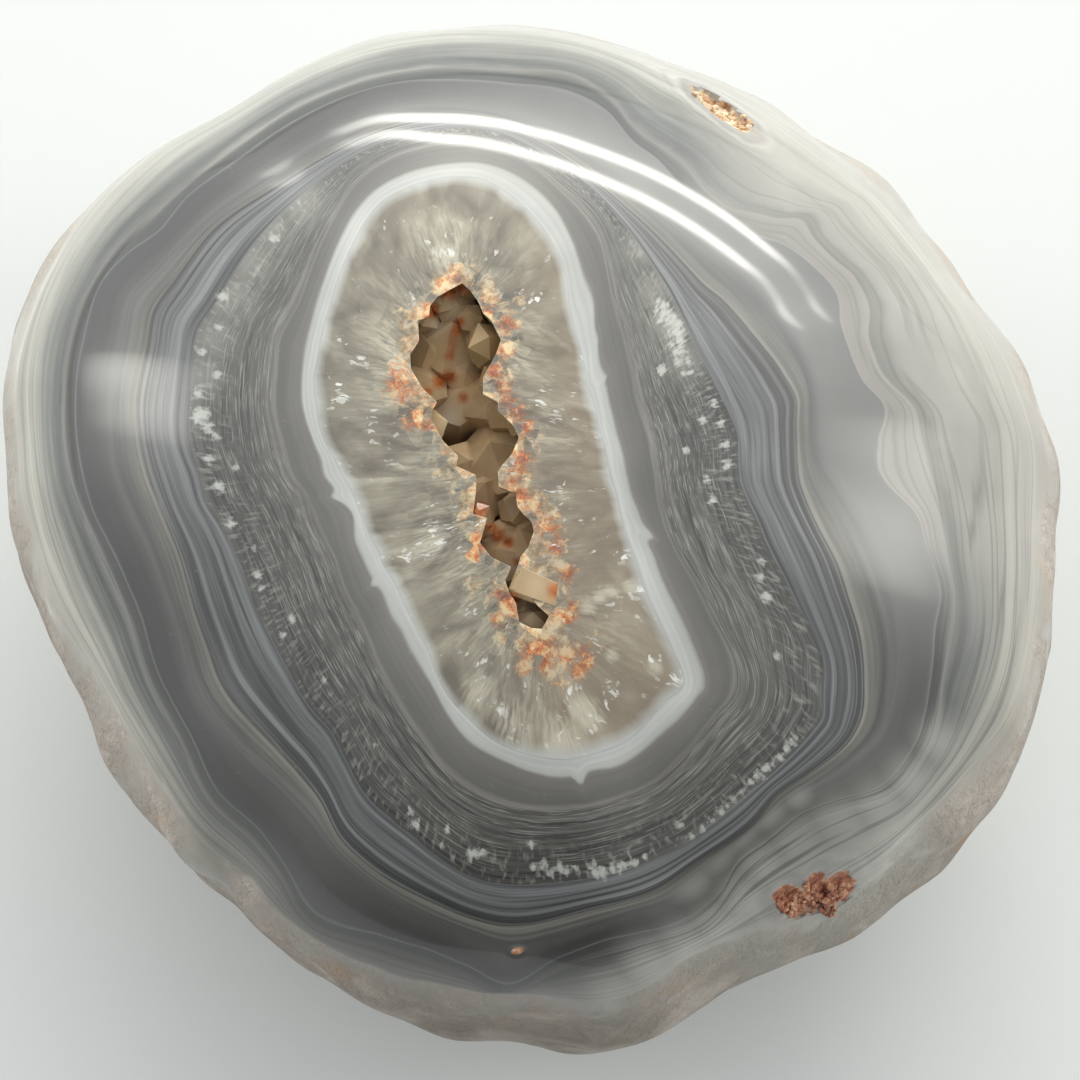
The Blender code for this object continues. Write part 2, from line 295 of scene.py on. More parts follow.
def radius_on(line, angles):
    """A growth line's distance from the centre, in pixels, on a smooth curve through the read angles."""
    turns, sizes = np.array(sorted(line.items()), float).T
    turns = np.concatenate((turns[-2:] - 360, turns, turns[:3] + 360))
    sizes = np.concatenate((sizes[-2:], sizes, sizes[:3]))
    slopes = np.gradient(sizes, turns)
    rises = np.diff(sizes)
    slopes[1:-1][rises[:-1] * rises[1:] < 0] *= CUSP_SOFTNESS
    start = np.searchsorted(turns, angles, side="right") - 1
    gap = turns[start + 1] - turns[start]
    share = (angles - turns[start]) / gap
    rise = rises[start]
    slope_here, slope_after = slopes[start] * gap, slopes[start + 1] * gap
    curve = (3 * rise - 2 * slope_here - slope_after) + (slope_here + slope_after - 2 * rise) * share
    return sizes[start] + slope_here * share + curve * share * share


def pixels_at(angles, radii):
    turns = np.radians(angles)
    return BAND_CENTRE[0] + radii * np.cos(turns), BAND_CENTRE[1] - radii * np.sin(turns)


spoke_angles = np.arange(SPOKES) * 360.0 / SPOKES
lines = [radius_on(line, spoke_angles) for line in GROWTH_LINES]

# Small pits where the growth rings close round a late gap: plan position, half sizes and
# turn in degrees
PITS = (
    ((6.5, 13.1), (1.3, 0.42, 0.6), -46.0),
    ((8.6, -13.8), (0.62, 0.45, 0.55), -5.0),
    ((9.4, -13.5), (0.36, 0.6, 0.5), -20.0),
    ((10.1, -13.3), (0.6, 0.42, 0.55), 20.0),
    ((-0.4, -15.7), (0.2, 0.1, 0.1), 10.0),
)


def pit_distance(points, pit):
    """How far out points lie in plan from a pit's middle, with 1 on the pit's own oval edge."""
    (x, y), (half_length, half_width, _), turn = pit
    turn = math.radians(turn)
    along = (points[:, 0] - x) * math.cos(turn) + (points[:, 1] - y) * math.sin(turn)
    across = (points[:, 1] - y) * math.cos(turn) - (points[:, 0] - x) * math.sin(turn)
    return np.hypot(along / half_length, across / half_width)


def with_pits(points):
    """The points, sunk where they lie in a pit."""
    points = points.copy()
    for pit in PITS:
        inside = np.maximum(1 - pit_distance(points, pit) ** 2, 0)
        inside[points[:, 2] < WIDEST_LEVEL] = 0
        points[:, 2] -= pit[1][2] * np.sqrt(inside)
    return points


# Rows of the grid, from the bottom of the quartz's cup outwards: points and layer of every spoke
rows = []
layers = []


def add_row(points, layer):
    rows.append(points)
    layers.append(np.broadcast_to(np.asarray(layer, float), SPOKES))


CUP_MIDDLE = np.array((-1.3, 0.4))
CUP_DEPTH = 8.5
CUP_ROWS = 12
cup_rim = on_dome(*pixels_at(spoke_angles, lines[0]))


def cup_row(step, slack=0.0):
    """One ring of the quartz's cup: step 0 is its bottom, CUP_ROWS its rim, slack its extra size."""
    turn = math.pi / 2 * step / CUP_ROWS
    share = math.sin(turn)
    cup = cup_rim.copy()
    cup[:, :2] = CUP_MIDDLE + (cup_rim[:, :2] - CUP_MIDDLE) * share**0.6
    drop = (CUP_DEPTH + slack) * math.cos(turn) ** 0.8
    cup[:, 2] = cup_rim[:, 2] * share + (1 - share) * (WIDEST_LEVEL + RISE_OF_DOME) - drop
    arms = cup[:, :2] - CUP_MIDDLE
    cup[:, :2] += arms / np.maximum(np.linalg.norm(arms, axis=1, keepdims=True), 0.01) * slack * share
    return cup


for step in range(CUP_ROWS):
    add_row(cup_row(step), step / CUP_ROWS)

for line, (inner, outer) in enumerate(zip(lines, lines[1:])):
    count = ROWS_BETWEEN_LINES[line]
    for step in range(count):
        share = step / count
        places = on_dome(*pixels_at(spoke_angles, inner + (outer - inner) * share))
        angle, reach = plan_polar(places[:, 0], places[:, 1])
        add_row(with_pits(skin_points(angle, slope_of(reach))), line + 1 + share)

places = on_dome(*pixels_at(spoke_angles, lines[-1]))
outer_angle, outer_reach = plan_polar(places[:, 0], places[:, 1])
outer_angle = np.unwrap(outer_angle)
edge_slope = slope_of(np.full(SPOKES, POLISH_ENDS))
start_slope = np.minimum(slope_of(outer_reach), edge_slope - 0.01)
OUTER_ROWS = 30
for step in range(OUTER_ROWS):
    share = step / OUTER_ROWS
    slope = start_slope + (edge_slope - start_slope) * share
    add_row(with_pits(skin_points(outer_angle, slope)), 8 + share)

# The slope at which each spoke of the back comes down to the resting plane
low, high = np.full(SPOKES, 1.2), np.full(SPOKES, 1.98)
for _ in range(20):
    middle = (low + high) / 2
    under = skin_points(outer_angle, middle)[:, 2] < 0
    high = np.where(under, middle, high)
    low = np.where(under, low, middle)
BACK_ROWS = 50
for step in range(BACK_ROWS + 1):
    share = (step / BACK_ROWS) ** 1.4
    add_row(with_pits(skin_points(outer_angle, edge_slope + (low - edge_slope) * share)), 9 + share)
spot_edge = rows[-1].copy()
spot_edge[:, 2] = 0.0
rows[-1] = spot_edge
spot_middle = spot_edge.mean(axis=0)
SPOT_ROWS = 4
for step in range(SPOT_ROWS + 1):
    add_row(spot_middle + (spot_edge - spot_middle) * (1 - (step + 0.35) / (SPOT_ROWS + 0.35)), 10.2)
rows[0] = np.broadcast_to(rows[0].mean(axis=0), rows[0].shape)
rows[-1] = np.broadcast_to(spot_middle, rows[-1].shape)


def finish_mesh(bm, name, smooth=True):
    """Turns a bmesh in metres into a piece of that name."""
    bmesh.ops.recalc_face_normals(bm, faces=bm.faces)
    for face in bm.faces:
        face.smooth = smooth
    mesh = bpy.data.meshes.new(name)
    bm.to_mesh(mesh)
    bm.free()
    piece = bpy.data.objects.new(name, mesh)
    scene.collection.objects.link(piece)
    return piece


def wrapped_grid(name, point_rows):
    """A grid wrapped into a closed skin: its rows become rings, and its end rows close to poles."""
    bm = bmesh.new()
    source = bm.verts.layers.int.new("grid_place")
    count = len(point_rows[0])
    bmesh.ops.create_grid(bm, x_segments=count, y_segments=len(point_rows) - 1, size=1.0)
    for place, vertex in enumerate(bm.verts):
        row, column = divmod(place, count + 1)
        vertex.co = Vector(point_rows[row][column % count]) * MM
        vertex[source] = row * count + column % count
    bmesh.ops.remove_doubles(bm, verts=bm.verts, dist=1e-7)
    return finish_mesh(bm, name)


def give_attribute(piece, name, values):
    """Writes one number or vector per grid point onto the piece's vertices."""
    mesh = piece.data
    places = np.zeros(len(mesh.vertices), np.int32)
    mesh.attributes["grid_place"].data.foreach_get("value", places)
    values = np.concatenate(values)[places].astype(np.float32)
    attribute = mesh.attributes.new(name, "FLOAT" if values.ndim == 1 else "FLOAT_VECTOR", "POINT")
    attribute.data.foreach_set("value" if values.ndim == 1 else "vector", values.ravel())


RIM_ANGLE = math.radians(35)
nodule = wrapped_grid("banded_agate", rows)
nodule.data.set_sharp_from_angle(angle=RIM_ANGLE)
give_attribute(nodule, "layer", layers)

# A direction that runs with the layers, for streaks that follow them: the turn in millimetres
# round a circle of middle size, then the number of fine lines laid down so far
STREAK_RADIUS = 10.0
FINE_LINES_AT_LAYER = (0, 4, 12, 24, 62, 80, 86, 94, 98, 116, 130)
turns = np.radians(spoke_angles)
ring = np.stack((np.cos(turns) * STREAK_RADIUS, np.sin(turns) * STREAK_RADIUS), axis=1)
fine_lines = [np.interp(layer, range(len(FINE_LINES_AT_LAYER)), FINE_LINES_AT_LAYER) for layer in layers]
give_attribute(nodule, "grain", [np.column_stack((ring, fine)) for fine in fine_lines])

# White plumes at the rim of the feathery zone, where the photograph shows them: angle,
# pixels out and size
PLUMES = (
    (3, 217, 5.6), (8, 178, 4.8), (8, 218, 4.8), (14, 217, 4.8), (16, 200, 4), (19.5, 216, 4.8),
    (30.5, 201, 4), (35, 184, 6.4), (38, 217, 5.6), (40, 222, 5.6), (42, 226, 6.4), (44, 228, 4.8),
    (46, 216, 4.8), (36, 205, 4.8), (135, 335, 6.4), (148, 338, 7.2), (153, 326, 5.6),
    (158, 332, 6.4), (161, 310, 4.8), (165, 322, 6.4), (172.5, 297, 4.8), (177, 302, 5.6),
    (178.5, 275, 4.8), (182, 291, 6.4), (190, 283, 5.6), (196, 266, 4), (201.5, 272, 4.8),
    (204.5, 273, 4), (213.5, 261, 4.8), (215, 278, 4.8), (227.5, 276, 4), (243.5, 303, 4),
    (253.5, 350, 4), (260, 360, 4.8), (264, 381, 7.2), (266, 379, 6.4), (273, 370, 4),
    (283, 406, 5.6), (334.5, 284, 6.4), (338, 270, 5.6), (341, 266, 4.8), (353, 204, 5.6),
    (358.5, 197, 4.8), (326, 322, 5.6), (169, 314, 11), (171, 306, 8),
)
PLUME_ZONE = (2.9, 4.2)
# More of them along that zone's lower edge, run together to a ragged line: pixels across,
# down and in size
FROST_MARKS = (
    (664, 308, 7), (668, 316, 8), (672, 325, 9), (676, 333, 8), (681, 341, 6), (659, 302, 5),
    (672, 344, 5), (676, 352, 5), (683, 352, 7), (656, 312, 4), (688, 362, 4), (678, 362, 5),
    (662, 320, 4), (690, 372, 4), (534, 868, 5), (541, 864, 6), (551, 872, 5), (560, 868, 6),
    (567, 872, 5), (575, 868, 4), (590, 865, 5), (597, 873, 7), (604, 872, 7), (612, 870, 6),
    (620, 866, 7), (628, 864, 5), (636, 861, 4), (643, 856, 4), (476, 853, 7), (531, 845, 5),
    (447, 830, 4), (417, 825, 5), (442, 846, 4), (680, 826, 5), (792, 741, 6), (787, 748, 5),
    (779, 757, 5), (772, 763, 4), (765, 769, 5), (758, 775, 6), (750, 783, 4), (742, 791, 5),
    (735, 798, 5), (728, 805, 4), (720, 812, 4), (712, 820, 4), (702, 829, 4), (690, 836, 4),
)
plume_marks = [(*np.ravel(pixels_at(angle, out)), size) for angle, out, size in PLUMES]
plume_marks += FROST_MARKS
plume = []
for row, layer in zip(rows, layers):
    in_zone = PLUME_ZONE[0] < layer[0] < PLUME_ZONE[1]
    plume.append(marks_seen(row, plume_marks) if in_zone else np.zeros(SPOKES))
give_attribute(nodule, "plume", plume)

# Where the layers are milkier, round the pits in front and in the feathery zone: pixels
# across, down and in size
PALE_MARKS = (
    (712, 850, 26), (735, 830, 24), (768, 812, 20), (798, 797, 16), (690, 880, 22), (720, 928, 34),
    (690, 950, 34), (650, 968, 30), (744, 900, 34), (765, 868, 32), (802, 848, 38), (842, 828, 38),
    (880, 808, 36), (908, 780, 30), (760, 955, 36), (858, 885, 46), (900, 840, 40), (830, 935, 34),
    (938, 742, 24), (615, 1000, 30), (300, 205, 26), (270, 228, 28), (248, 260, 30), (230, 298, 30),
    (215, 338, 26), (206, 375, 22), (640, 250, 20), (655, 290, 22), (668, 325, 24), (684, 360, 22),
)
give_attribute(nodule, "pale", [marks_seen(row, PALE_MARKS) for row in rows])

# Distance from the nearest pit, in millimetres, for the rings that the layers draw round it
EYE_REACH = 4.0
RINGED_PITS = 4
eye = []
for row in rows:
    nearest = np.full(SPOKES, EYE_REACH)
    for pit in PITS[:RINGED_PITS]:
        half_length, half_width, _ = pit[1]
        out = np.maximum((pit_distance(row, pit) - 1) * math.sqrt(half_length * half_width), 0)
        out = np.hypot(out, np.maximum(np.abs(row[:, 2] - dome_height(*pit[0])) - 0.7, 0))
        nearest = np.where(row[:, 2] > WIDEST_LEVEL, np.minimum(nearest, out), nearest)
    eye.append(nearest)
give_attribute(nodule, "eye", eye)


def linear(hex_colour):
    """An sRGB hex colour as linear light."""
    parts = [int(hex_colour[k:k + 2], 16) / 255 for k in (1, 3, 5)]
    light = [part / 12.92 if part <= 0.04045 else ((part + 0.055) / 1.055) ** 2.4 for part in parts]
    return light + [1.0]


def add_node(tree, kind, inputs=None, output=0, stops=(), **settings):
    """Adds a node with its settings, its inputs (values or links) and ramp stops. Returns an output."""
    node = tree.nodes.new(kind)
    for name, value in settings.items():
        setattr(node, name, value)
    for name, value in (inputs or {}).items():
        if isinstance(value, bpy.types.NodeSocket):
            tree.links.new(value, node.inputs[name])
        else:
            node.inputs[name].default_value = value
    if stops:
        elements = node.color_ramp.elements
        while len(elements) < len(stops):
            elements.new(1.0)
        for element, (place, colour) in zip(elements, stops):
            element.position = place
            element.color = linear(colour) if isinstance(colour, str) else (*[colour] * 3, 1.0)
    return node.outputs[output]


def new_material(name):
    material = bpy.data.materials.new(name)
    material.use_nodes = True
    return material, material.node_tree, material.node_tree.nodes["Principled BSDF"]


def per_mm(wavelength):
    """A noise scale that gives features of so many millimetres, on coordinates in metres."""
    return 1 / (wavelength * MM)


# Polished chalcedony: its fine layers give grey bands that differ in how much light they scatter,
# and the polish gives sharp reflections. Each layer's colour is read between the growth lines.
chalcedony, tree, shader = new_material("polished_banded_chalcedony")
place = add_node(tree, "ShaderNodeTexCoord", output="Object")
grain = add_node(tree, "ShaderNodeAttribute", output="Vector", attribute_name="grain")
layer, plume, eye, pale_mark = (
    add_node(tree, "ShaderNodeAttribute", output="Fac", attribute_name=name)
    for name in ("layer", "plume", "eye", "pale")
)

# The layers run a little wavy between the lines
WAVE_MM = 1.1
WAVE_REACH = 0.045
wave = add_node(tree, "ShaderNodeTexNoise", {"Vector": place, "Scale": per_mm(WAVE_MM), "Detail": 2.0})
wave = add_node(tree, "ShaderNodeMapRange", {0: wave, 1: 0.0, 2: 1.0, 3: -WAVE_REACH, 4: WAVE_REACH})
wavy_layer = add_node(tree, "ShaderNodeMath", {0: layer, 1: wave}, operation="ADD")

# The layer count as a share of ten, for ramps. The first ramp colours the layers up to the
# feathery zone's outer edge, at 0.4, and the second those beyond it.
FEATHER_EDGE_LAYER = 4.0
share = add_node(tree, "ShaderNodeMath", {0: wavy_layer, 1: 0.1}, operation="MULTIPLY")
INNER_COLOURS = (
    (0.0, "#8c8c86"), (0.098, "#adaea9"), (0.11, "#b4b5b1"), (0.15, "#afb0ab"), (0.186, "#a9a9a4"),
    (0.198, "#8f8f8b"), (0.205, "#706d67"), (0.25, "#63615c"), (0.288, "#5b5955"),
    (0.298, "#76736c"), (0.304, "#625f5a"), (0.32, "#514f4b"), (0.36, "#42403c"),
    (0.398, "#3f3d3a"),
)
OUTER_COLOURS = (
    (0.40, "#5d5e5e"), (0.42, "#636565"), (0.47, "#565757"), (0.498, "#4a4a48"), (0.502, "#706d65"),
    (0.53, "#5f5d56"), (0.6, "#4d4d4b"), (0.61, "#4e4e4b"), (0.65, "#3b3a37"), (0.69, "#333230"),
    (0.698, "#37383a"), (0.701, "#6c6b67"), (0.706, "#63625f"), (0.711, "#3d3e3b"),
    (0.755, "#424340"), (0.79, "#6e6c67"), (0.8, "#6b6a65"), (0.806, "#4b4d4b"), (0.83, "#6f6f69"),
    (0.86, "#8e8b82"), (1.0, "#a39c8f"),
)
inner = add_node(tree, "ShaderNodeValToRGB", {"Fac": share}, stops=INNER_COLOURS)
outer = add_node(tree, "ShaderNodeValToRGB", {"Fac": share}, stops=OUTER_COLOURS)
beyond = add_node(tree, "ShaderNodeMath", {0: wavy_layer, 1: FEATHER_EDGE_LAYER}, operation="GREATER_THAN")
colour = add_node(tree, "ShaderNodeMix", {"Factor": beyond, 6: inner, 7: outer}, output=2, data_type="RGBA")

# Fine lines: thin layers, each a little lighter or darker than the next, that run far round the stone
FINE_LINE_STRENGTHS = (
    (0.10, 0.1), (0.19, 0.12), (0.21, 0.1), (0.29, 0.1), (0.31, 0.6), (0.39, 0.7), (0.41, 0.7),
    (0.49, 0.7), (0.51, 0.55), (0.6, 0.45), (0.62, 0.12), (0.69, 0.12), (0.71, 0.2), (0.8, 0.3),
    (0.9, 0.28), (0.93, 0.2),
)
LINE_RUN_MM = 9.0
along_layers = add_node(
    tree, "ShaderNodeMapping", {"Vector": grain, "Scale": (1 / LINE_RUN_MM, 1 / LINE_RUN_MM, 0.42)}
)
fine = add_node(
    tree, "ShaderNodeTexNoise",
    {"Vector": along_layers, "Scale": 1.0, "Detail": 3.0, "Roughness": 0.65, "Distortion": 0.15},
)
fine = add_node(tree, "ShaderNodeMapRange", {0: fine, 1: 0.34, 2: 0.66, 3: 0.0, 4: 1.0})
strength = add_node(tree, "ShaderNodeValToRGB", {"Fac": share}, stops=FINE_LINE_STRENGTHS)
colour = add_node(
    tree, "ShaderNodeMix", {"Factor": strength, 6: colour, 7: fine}, output=2, data_type="RGBA",
    blend_type="OVERLAY",
)

# Pinstripes just inside the cream layer: crisp pale and dark lines that run all the way round
PINSTRIPE_ZONE = (
    (0.44, 0.0), (0.46, 0.25), (0.48, 0.6), (0.499, 0.7), (0.503, 0.3), (0.53, 0.15), (0.56, 0.0),
)
PINSTRIPE_RUN_MM = 25.0
pinstripe_place = add_node(
    tree, "ShaderNodeMapping", {"Vector": grain, "Scale": (1 / PINSTRIPE_RUN_MM, 1 / PINSTRIPE_RUN_MM, 1.1)}
)
pinstripe = add_node(tree, "ShaderNodeTexNoise", {"Vector": pinstripe_place, "Scale": 1.0, "Detail": 1.0})
pinstripe = add_node(tree, "ShaderNodeMapRange", {0: pinstripe, 1: 0.42, 2: 0.58, 3: 0.1, 4: 0.9})
pinstripe_zone = add_node(tree, "ShaderNodeValToRGB", {"Fac": share}, stops=PINSTRIPE_ZONE)
colour = add_node(
    tree, "ShaderNodeMix", {"Factor": pinstripe_zone, 6: colour, 7: pinstripe}, output=2, data_type="RGBA",
    blend_type="OVERLAY",
)

# Hair lines: thin broken milky layers in the inner half of the dark feathery zone
HAIR_ZONE = ((0.3, 0.0), (0.306, 1.0), (0.37, 0.9), (0.395, 0.25), (0.4, 0.0))
HAIR_COLOUR = "#8f8f86"
HAIR_RUN_MM = 1.0
hair_place = add_node(
    tree, "ShaderNodeMapping", {"Vector": grain, "Scale": (1 / HAIR_RUN_MM, 1 / HAIR_RUN_MM, 1.7)}
)
hair = add_node(
    tree, "ShaderNodeTexNoise", {"Vector": hair_place, "Scale": 1.0, "Detail": 2.0, "Roughness": 0.6}
)
hair = add_node(tree, "ShaderNodeMapRange", {0: hair, 1: 0.53, 2: 0.66, 3: 0.0, 4: 0.75})
hair_zone = add_node(tree, "ShaderNodeValToRGB", {"Fac": share}, stops=HAIR_ZONE)
hair = add_node(tree, "ShaderNodeMath", {0: hair, 1: hair_zone}, operation="MULTIPLY")
colour = add_node(
    tree, "ShaderNodeMix", {"Factor": hair, 6: colour, 7: linear(HAIR_COLOUR)}, output=2, data_type="RGBA"
)

# Feathers: short milky needles that grow across the layers, towards the zone's outer edge
FEATHER_ZONE = ((0.34, 0.0), (0.37, 0.7), (0.395, 1.0), (0.401, 0.0))
FEATHER_COLOUR = "#a4a49a"
NEEDLE_MM = 0.07
feather_place = add_node(
    tree, "ShaderNodeMapping", {"Vector": grain, "Scale": (1 / NEEDLE_MM / 2, 1 / NEEDLE_MM / 2, 0.2)}
)
feather = add_node(
    tree, "ShaderNodeTexNoise", {"Vector": feather_place, "Scale": 1.0, "Detail": 2.0, "Distortion": 0.35}
)
needles = add_node(tree, "ShaderNodeMapRange", {0: feather, 1: 0.35, 2: 0.65, 3: 0.0, 4: 0.4})
feather = add_node(tree, "ShaderNodeMapRange", {0: feather, 1: 0.52, 2: 0.75, 3: 0.0, 4: 0.6})
feather_zone = add_node(tree, "ShaderNodeValToRGB", {"Fac": share}, stops=FEATHER_ZONE)
feather = add_node(tree, "ShaderNodeMath", {0: feather, 1: feather_zone}, operation="MULTIPLY")
colour = add_node(
    tree, "ShaderNodeMix", {"Factor": feather, 6: colour, 7: linear(FEATHER_COLOUR)},
    output=2, data_type="RGBA",
)

# Plumes: fluffy white spots in the same zone
PLUME_COLOUR = "#b4b6ae"
FLUFF_MM = 0.16
fluff = add_node(
    tree, "ShaderNodeTexNoise", {"Vector": place, "Scale": per_mm(FLUFF_MM), "Detail": 3.0, "Roughness": 0.7}
)
fluff = add_node(tree, "ShaderNodeMapRange", {0: fluff, 1: 0.3, 2: 0.7, 3: 0.0, 4: 0.5})
fluff = add_node(tree, "ShaderNodeMath", {0: fluff, 1: needles}, operation="ADD")
fluffy = add_node(tree, "ShaderNodeMath", {0: plume, 1: fluff}, operation="ADD")
fluffy = add_node(tree, "ShaderNodeMapRange", {0: fluffy, 1: 0.8, 2: 1.35, 3: 0.0, 4: 0.95})
colour = add_node(
    tree, "ShaderNodeMix", {"Factor": fluffy, 6: colour, 7: linear(PLUME_COLOUR)}, output=2, data_type="RGBA"
)

# Eyes: rings of pale and grey layers round each pit
EYE_COLOURS = (
    (0.0, "#7c7771"), (0.09, "#73706c"), (0.13, "#8d8a84"), (0.16, "#a3a09a"), (0.21, "#96938d"),
    (0.25, "#7f7d78"), (0.3, "#a09e98"), (0.36, "#8b8984"), (0.42, "#9a9892"), (1.0, "#8f8d87"),
)
EYE_STRENGTHS = ((0.0, 0.9), (0.12, 0.75), (0.22, 0.4), (0.34, 0.15), (0.5, 0.0))
eye_wave = add_node(tree, "ShaderNodeTexNoise", {"Vector": place, "Scale": per_mm(1.3), "Detail": 2.0})
eye_share = add_node(tree, "ShaderNodeMath", {0: eye, 1: eye_wave}, operation="ADD")
eye_share = add_node(tree, "ShaderNodeMapRange", {0: eye_share, 1: 0.5, 2: EYE_REACH, 3: 0.0, 4: 1.0})
eye_colour = add_node(tree, "ShaderNodeValToRGB", {"Fac": eye_share}, stops=EYE_COLOURS)
eye_strength = add_node(tree, "ShaderNodeValToRGB", {"Fac": eye_share}, stops=EYE_STRENGTHS)
colour = add_node(
    tree, "ShaderNodeMix", {"Factor": eye_strength, 6: colour, 7: eye_colour}, output=2, data_type="RGBA"
)

# On the right the layers past the scalloped edge turn milky at once
MILKY_COLOUR = "#908c85"
MILKY_ZONE = (
    (0.7, 0.0), (0.702, 1.0), (0.792, 0.9), (0.796, 0.25), (0.802, 0.3), (0.81, 0.9), (0.86, 0.6),
)
across = add_node(tree, "ShaderNodeSeparateXYZ", {"Vector": place}, output="X")
along = add_node(tree, "ShaderNodeSeparateXYZ", {"Vector": place}, output="Y")
milky = add_node(tree, "ShaderNodeMapRange", {0: across, 1: 5 * MM, 2: 8.5 * MM, 3: 0.0, 4: 0.85})
milky_front = add_node(tree, "ShaderNodeMapRange", {0: along, 1: -6.5 * MM, 2: -1.5 * MM, 3: 0.0, 4: 1.0})
milky = add_node(tree, "ShaderNodeMath", {0: milky, 1: milky_front}, operation="MULTIPLY")
milky_zone = add_node(tree, "ShaderNodeValToRGB", {"Fac": share}, stops=MILKY_ZONE)
milky = add_node(tree, "ShaderNodeMath", {0: milky, 1: milky_zone}, operation="MULTIPLY")
colour = add_node(
    tree, "ShaderNodeMix", {"Factor": milky, 6: colour, 7: linear(MILKY_COLOUR)}, output=2, data_type="RGBA"
)

# Painted light and shade: the outermost layers are made whiter at the back and the sides, where more light
# falls, a little more on the left, and greyer in front
LEFT_LIGHTER = -0.25
sides = add_node(tree, "ShaderNodeMath", {0: across}, operation="ABSOLUTE")
painted_rim_light = add_node(tree, "ShaderNodeMath", {0: sides, 1: along}, operation="ADD")
leftwards = add_node(tree, "ShaderNodeMath", {0: across, 1: LEFT_LIGHTER}, operation="MULTIPLY")
painted_rim_light = add_node(tree, "ShaderNodeMath", {0: painted_rim_light, 1: leftwards}, operation="ADD")
painted_rim_light = add_node(tree, "ShaderNodeMapRange", {0: painted_rim_light, 1: -12 * MM, 2: 22 * MM, 3: 0.33, 4: 0.88})
rim_zone = add_node(tree, "ShaderNodeMapRange", {0: wavy_layer, 1: 7.6, 2: 8.4, 3: 0.0, 4: 0.8})
colour = add_node(
    tree, "ShaderNodeMix", {"Factor": rim_zone, 6: colour, 7: painted_rim_light}, output=2, data_type="RGBA",
    blend_type="OVERLAY",
)

# Painted light: towards the back on the right the clear layers are veiled paler, as if lit through from
# behind
PAINTED_GLOW_COLOUR = "#8b8a87"
PAINTED_GLOW_ZONE = ((0.4, 0.0), (0.42, 0.3), (0.6, 0.4), (0.62, 0.7), (0.699, 0.5), (0.7, 0.0))
PAINTED_GLOW_SLANT = 1.4
painted_glow_zone = add_node(tree, "ShaderNodeValToRGB", {"Fac": share}, stops=PAINTED_GLOW_ZONE)
painted_glow = add_node(tree, "ShaderNodeMath", {0: across, 1: PAINTED_GLOW_SLANT}, operation="MULTIPLY")
painted_glow = add_node(tree, "ShaderNodeMath", {0: along, 1: painted_glow}, operation="ADD")
painted_glow = add_node(tree, "ShaderNodeMapRange", {0: painted_glow, 1: 7 * MM, 2: 18 * MM, 3: 0.0, 4: 1.0})
painted_glow = add_node(tree, "ShaderNodeMath", {0: painted_glow, 1: painted_glow_zone}, operation="MULTIPLY")
colour = add_node(
    tree, "ShaderNodeMix", {"Factor": painted_glow, 6: colour, 7: linear(PAINTED_GLOW_COLOUR)}, output=2, data_type="RGBA"
)

# Painted shade: in front the clear layers are darkened, where less light reaches them
FRONT_SLANT = 0.35
sideways = add_node(tree, "ShaderNodeMath", {0: across, 1: FRONT_SLANT}, operation="MULTIPLY")
backwards = add_node(tree, "ShaderNodeMath", {0: along, 1: sideways}, operation="ADD")
painted_front_shade = add_node(tree, "ShaderNodeMapRange", {0: backwards, 1: -17 * MM, 2: -10 * MM, 3: 0.6, 4: 1.0})
clear_zone = add_node(tree, "ShaderNodeMapRange", {0: wavy_layer, 1: 6.9, 2: 7.1, 3: 0.0, 4: 1.0})
colour = add_node(
    tree, "ShaderNodeMix", {"Factor": clear_zone, 6: colour, 7: painted_front_shade}, output=2, data_type="RGBA",
    blend_type="MULTIPLY",
)

# A thinner dark layer there, just inside the pale rim
FRONT_LINE_COLOUR = "#2f2e2c"
FRONT_LINE_ZONE = ((0.74, 0.0), (0.762, 1.0), (0.79, 1.0), (0.803, 0.0))
front_line = add_node(tree, "ShaderNodeMapRange", {0: painted_front_shade, 1: 0.6, 2: 0.9, 3: 0.55, 4: 0.0})
front_line_zone = add_node(tree, "ShaderNodeValToRGB", {"Fac": share}, stops=FRONT_LINE_ZONE)
front_line = add_node(tree, "ShaderNodeMath", {0: front_line, 1: front_line_zone}, operation="MULTIPLY")
colour = add_node(
    tree, "ShaderNodeMix", {"Factor": front_line, 6: colour, 7: linear(FRONT_LINE_COLOUR)},
    output=2, data_type="RGBA",
)

# Milkier layers round the pits in front, and frost in the feathery zone
PALE_COLOUR = "#a09e96"
PALE_ZONE = ((0.3, 0.0), (0.33, 0.33), (0.399, 0.42), (0.4, 0.0), (0.53, 0.0), (0.62, 0.6), (0.8, 0.8))
pale_zone = add_node(tree, "ShaderNodeValToRGB", {"Fac": share}, stops=PALE_ZONE)
pale_mark = add_node(tree, "ShaderNodeMath", {0: pale_mark, 1: pale_zone}, operation="MULTIPLY")
colour = add_node(
    tree, "ShaderNodeMix", {"Factor": pale_mark, 6: colour, 7: linear(PALE_COLOUR)},
    output=2, data_type="RGBA",
)

# Dark hair lines that part the outer layers, fainter towards the back
PARTING_ZONE = ((0.7, 0.0), (0.706, 0.6), (0.8, 0.7), (0.88, 0.5), (0.9, 0.0))
PARTING_COLOUR = "#3a3936"
PARTING_WIDTH = 0.045
parting_place = add_node(
    tree, "ShaderNodeMapping", {"Vector": grain, "Scale": (1 / LINE_RUN_MM, 1 / LINE_RUN_MM, 0.55)}
)
parting = add_node(tree, "ShaderNodeTexNoise", {"Vector": parting_place, "Scale": 1.0, "Detail": 1.0})
parting = add_node(tree, "ShaderNodeMath", {0: parting, 1: 0.5}, operation="SUBTRACT")
parting = add_node(tree, "ShaderNodeMath", {0: parting}, operation="ABSOLUTE")
parting = add_node(tree, "ShaderNodeMapRange", {0: parting, 1: 0.0, 2: PARTING_WIDTH, 3: 1.0, 4: 0.0})
parting_zone = add_node(tree, "ShaderNodeValToRGB", {"Fac": share}, stops=PARTING_ZONE)
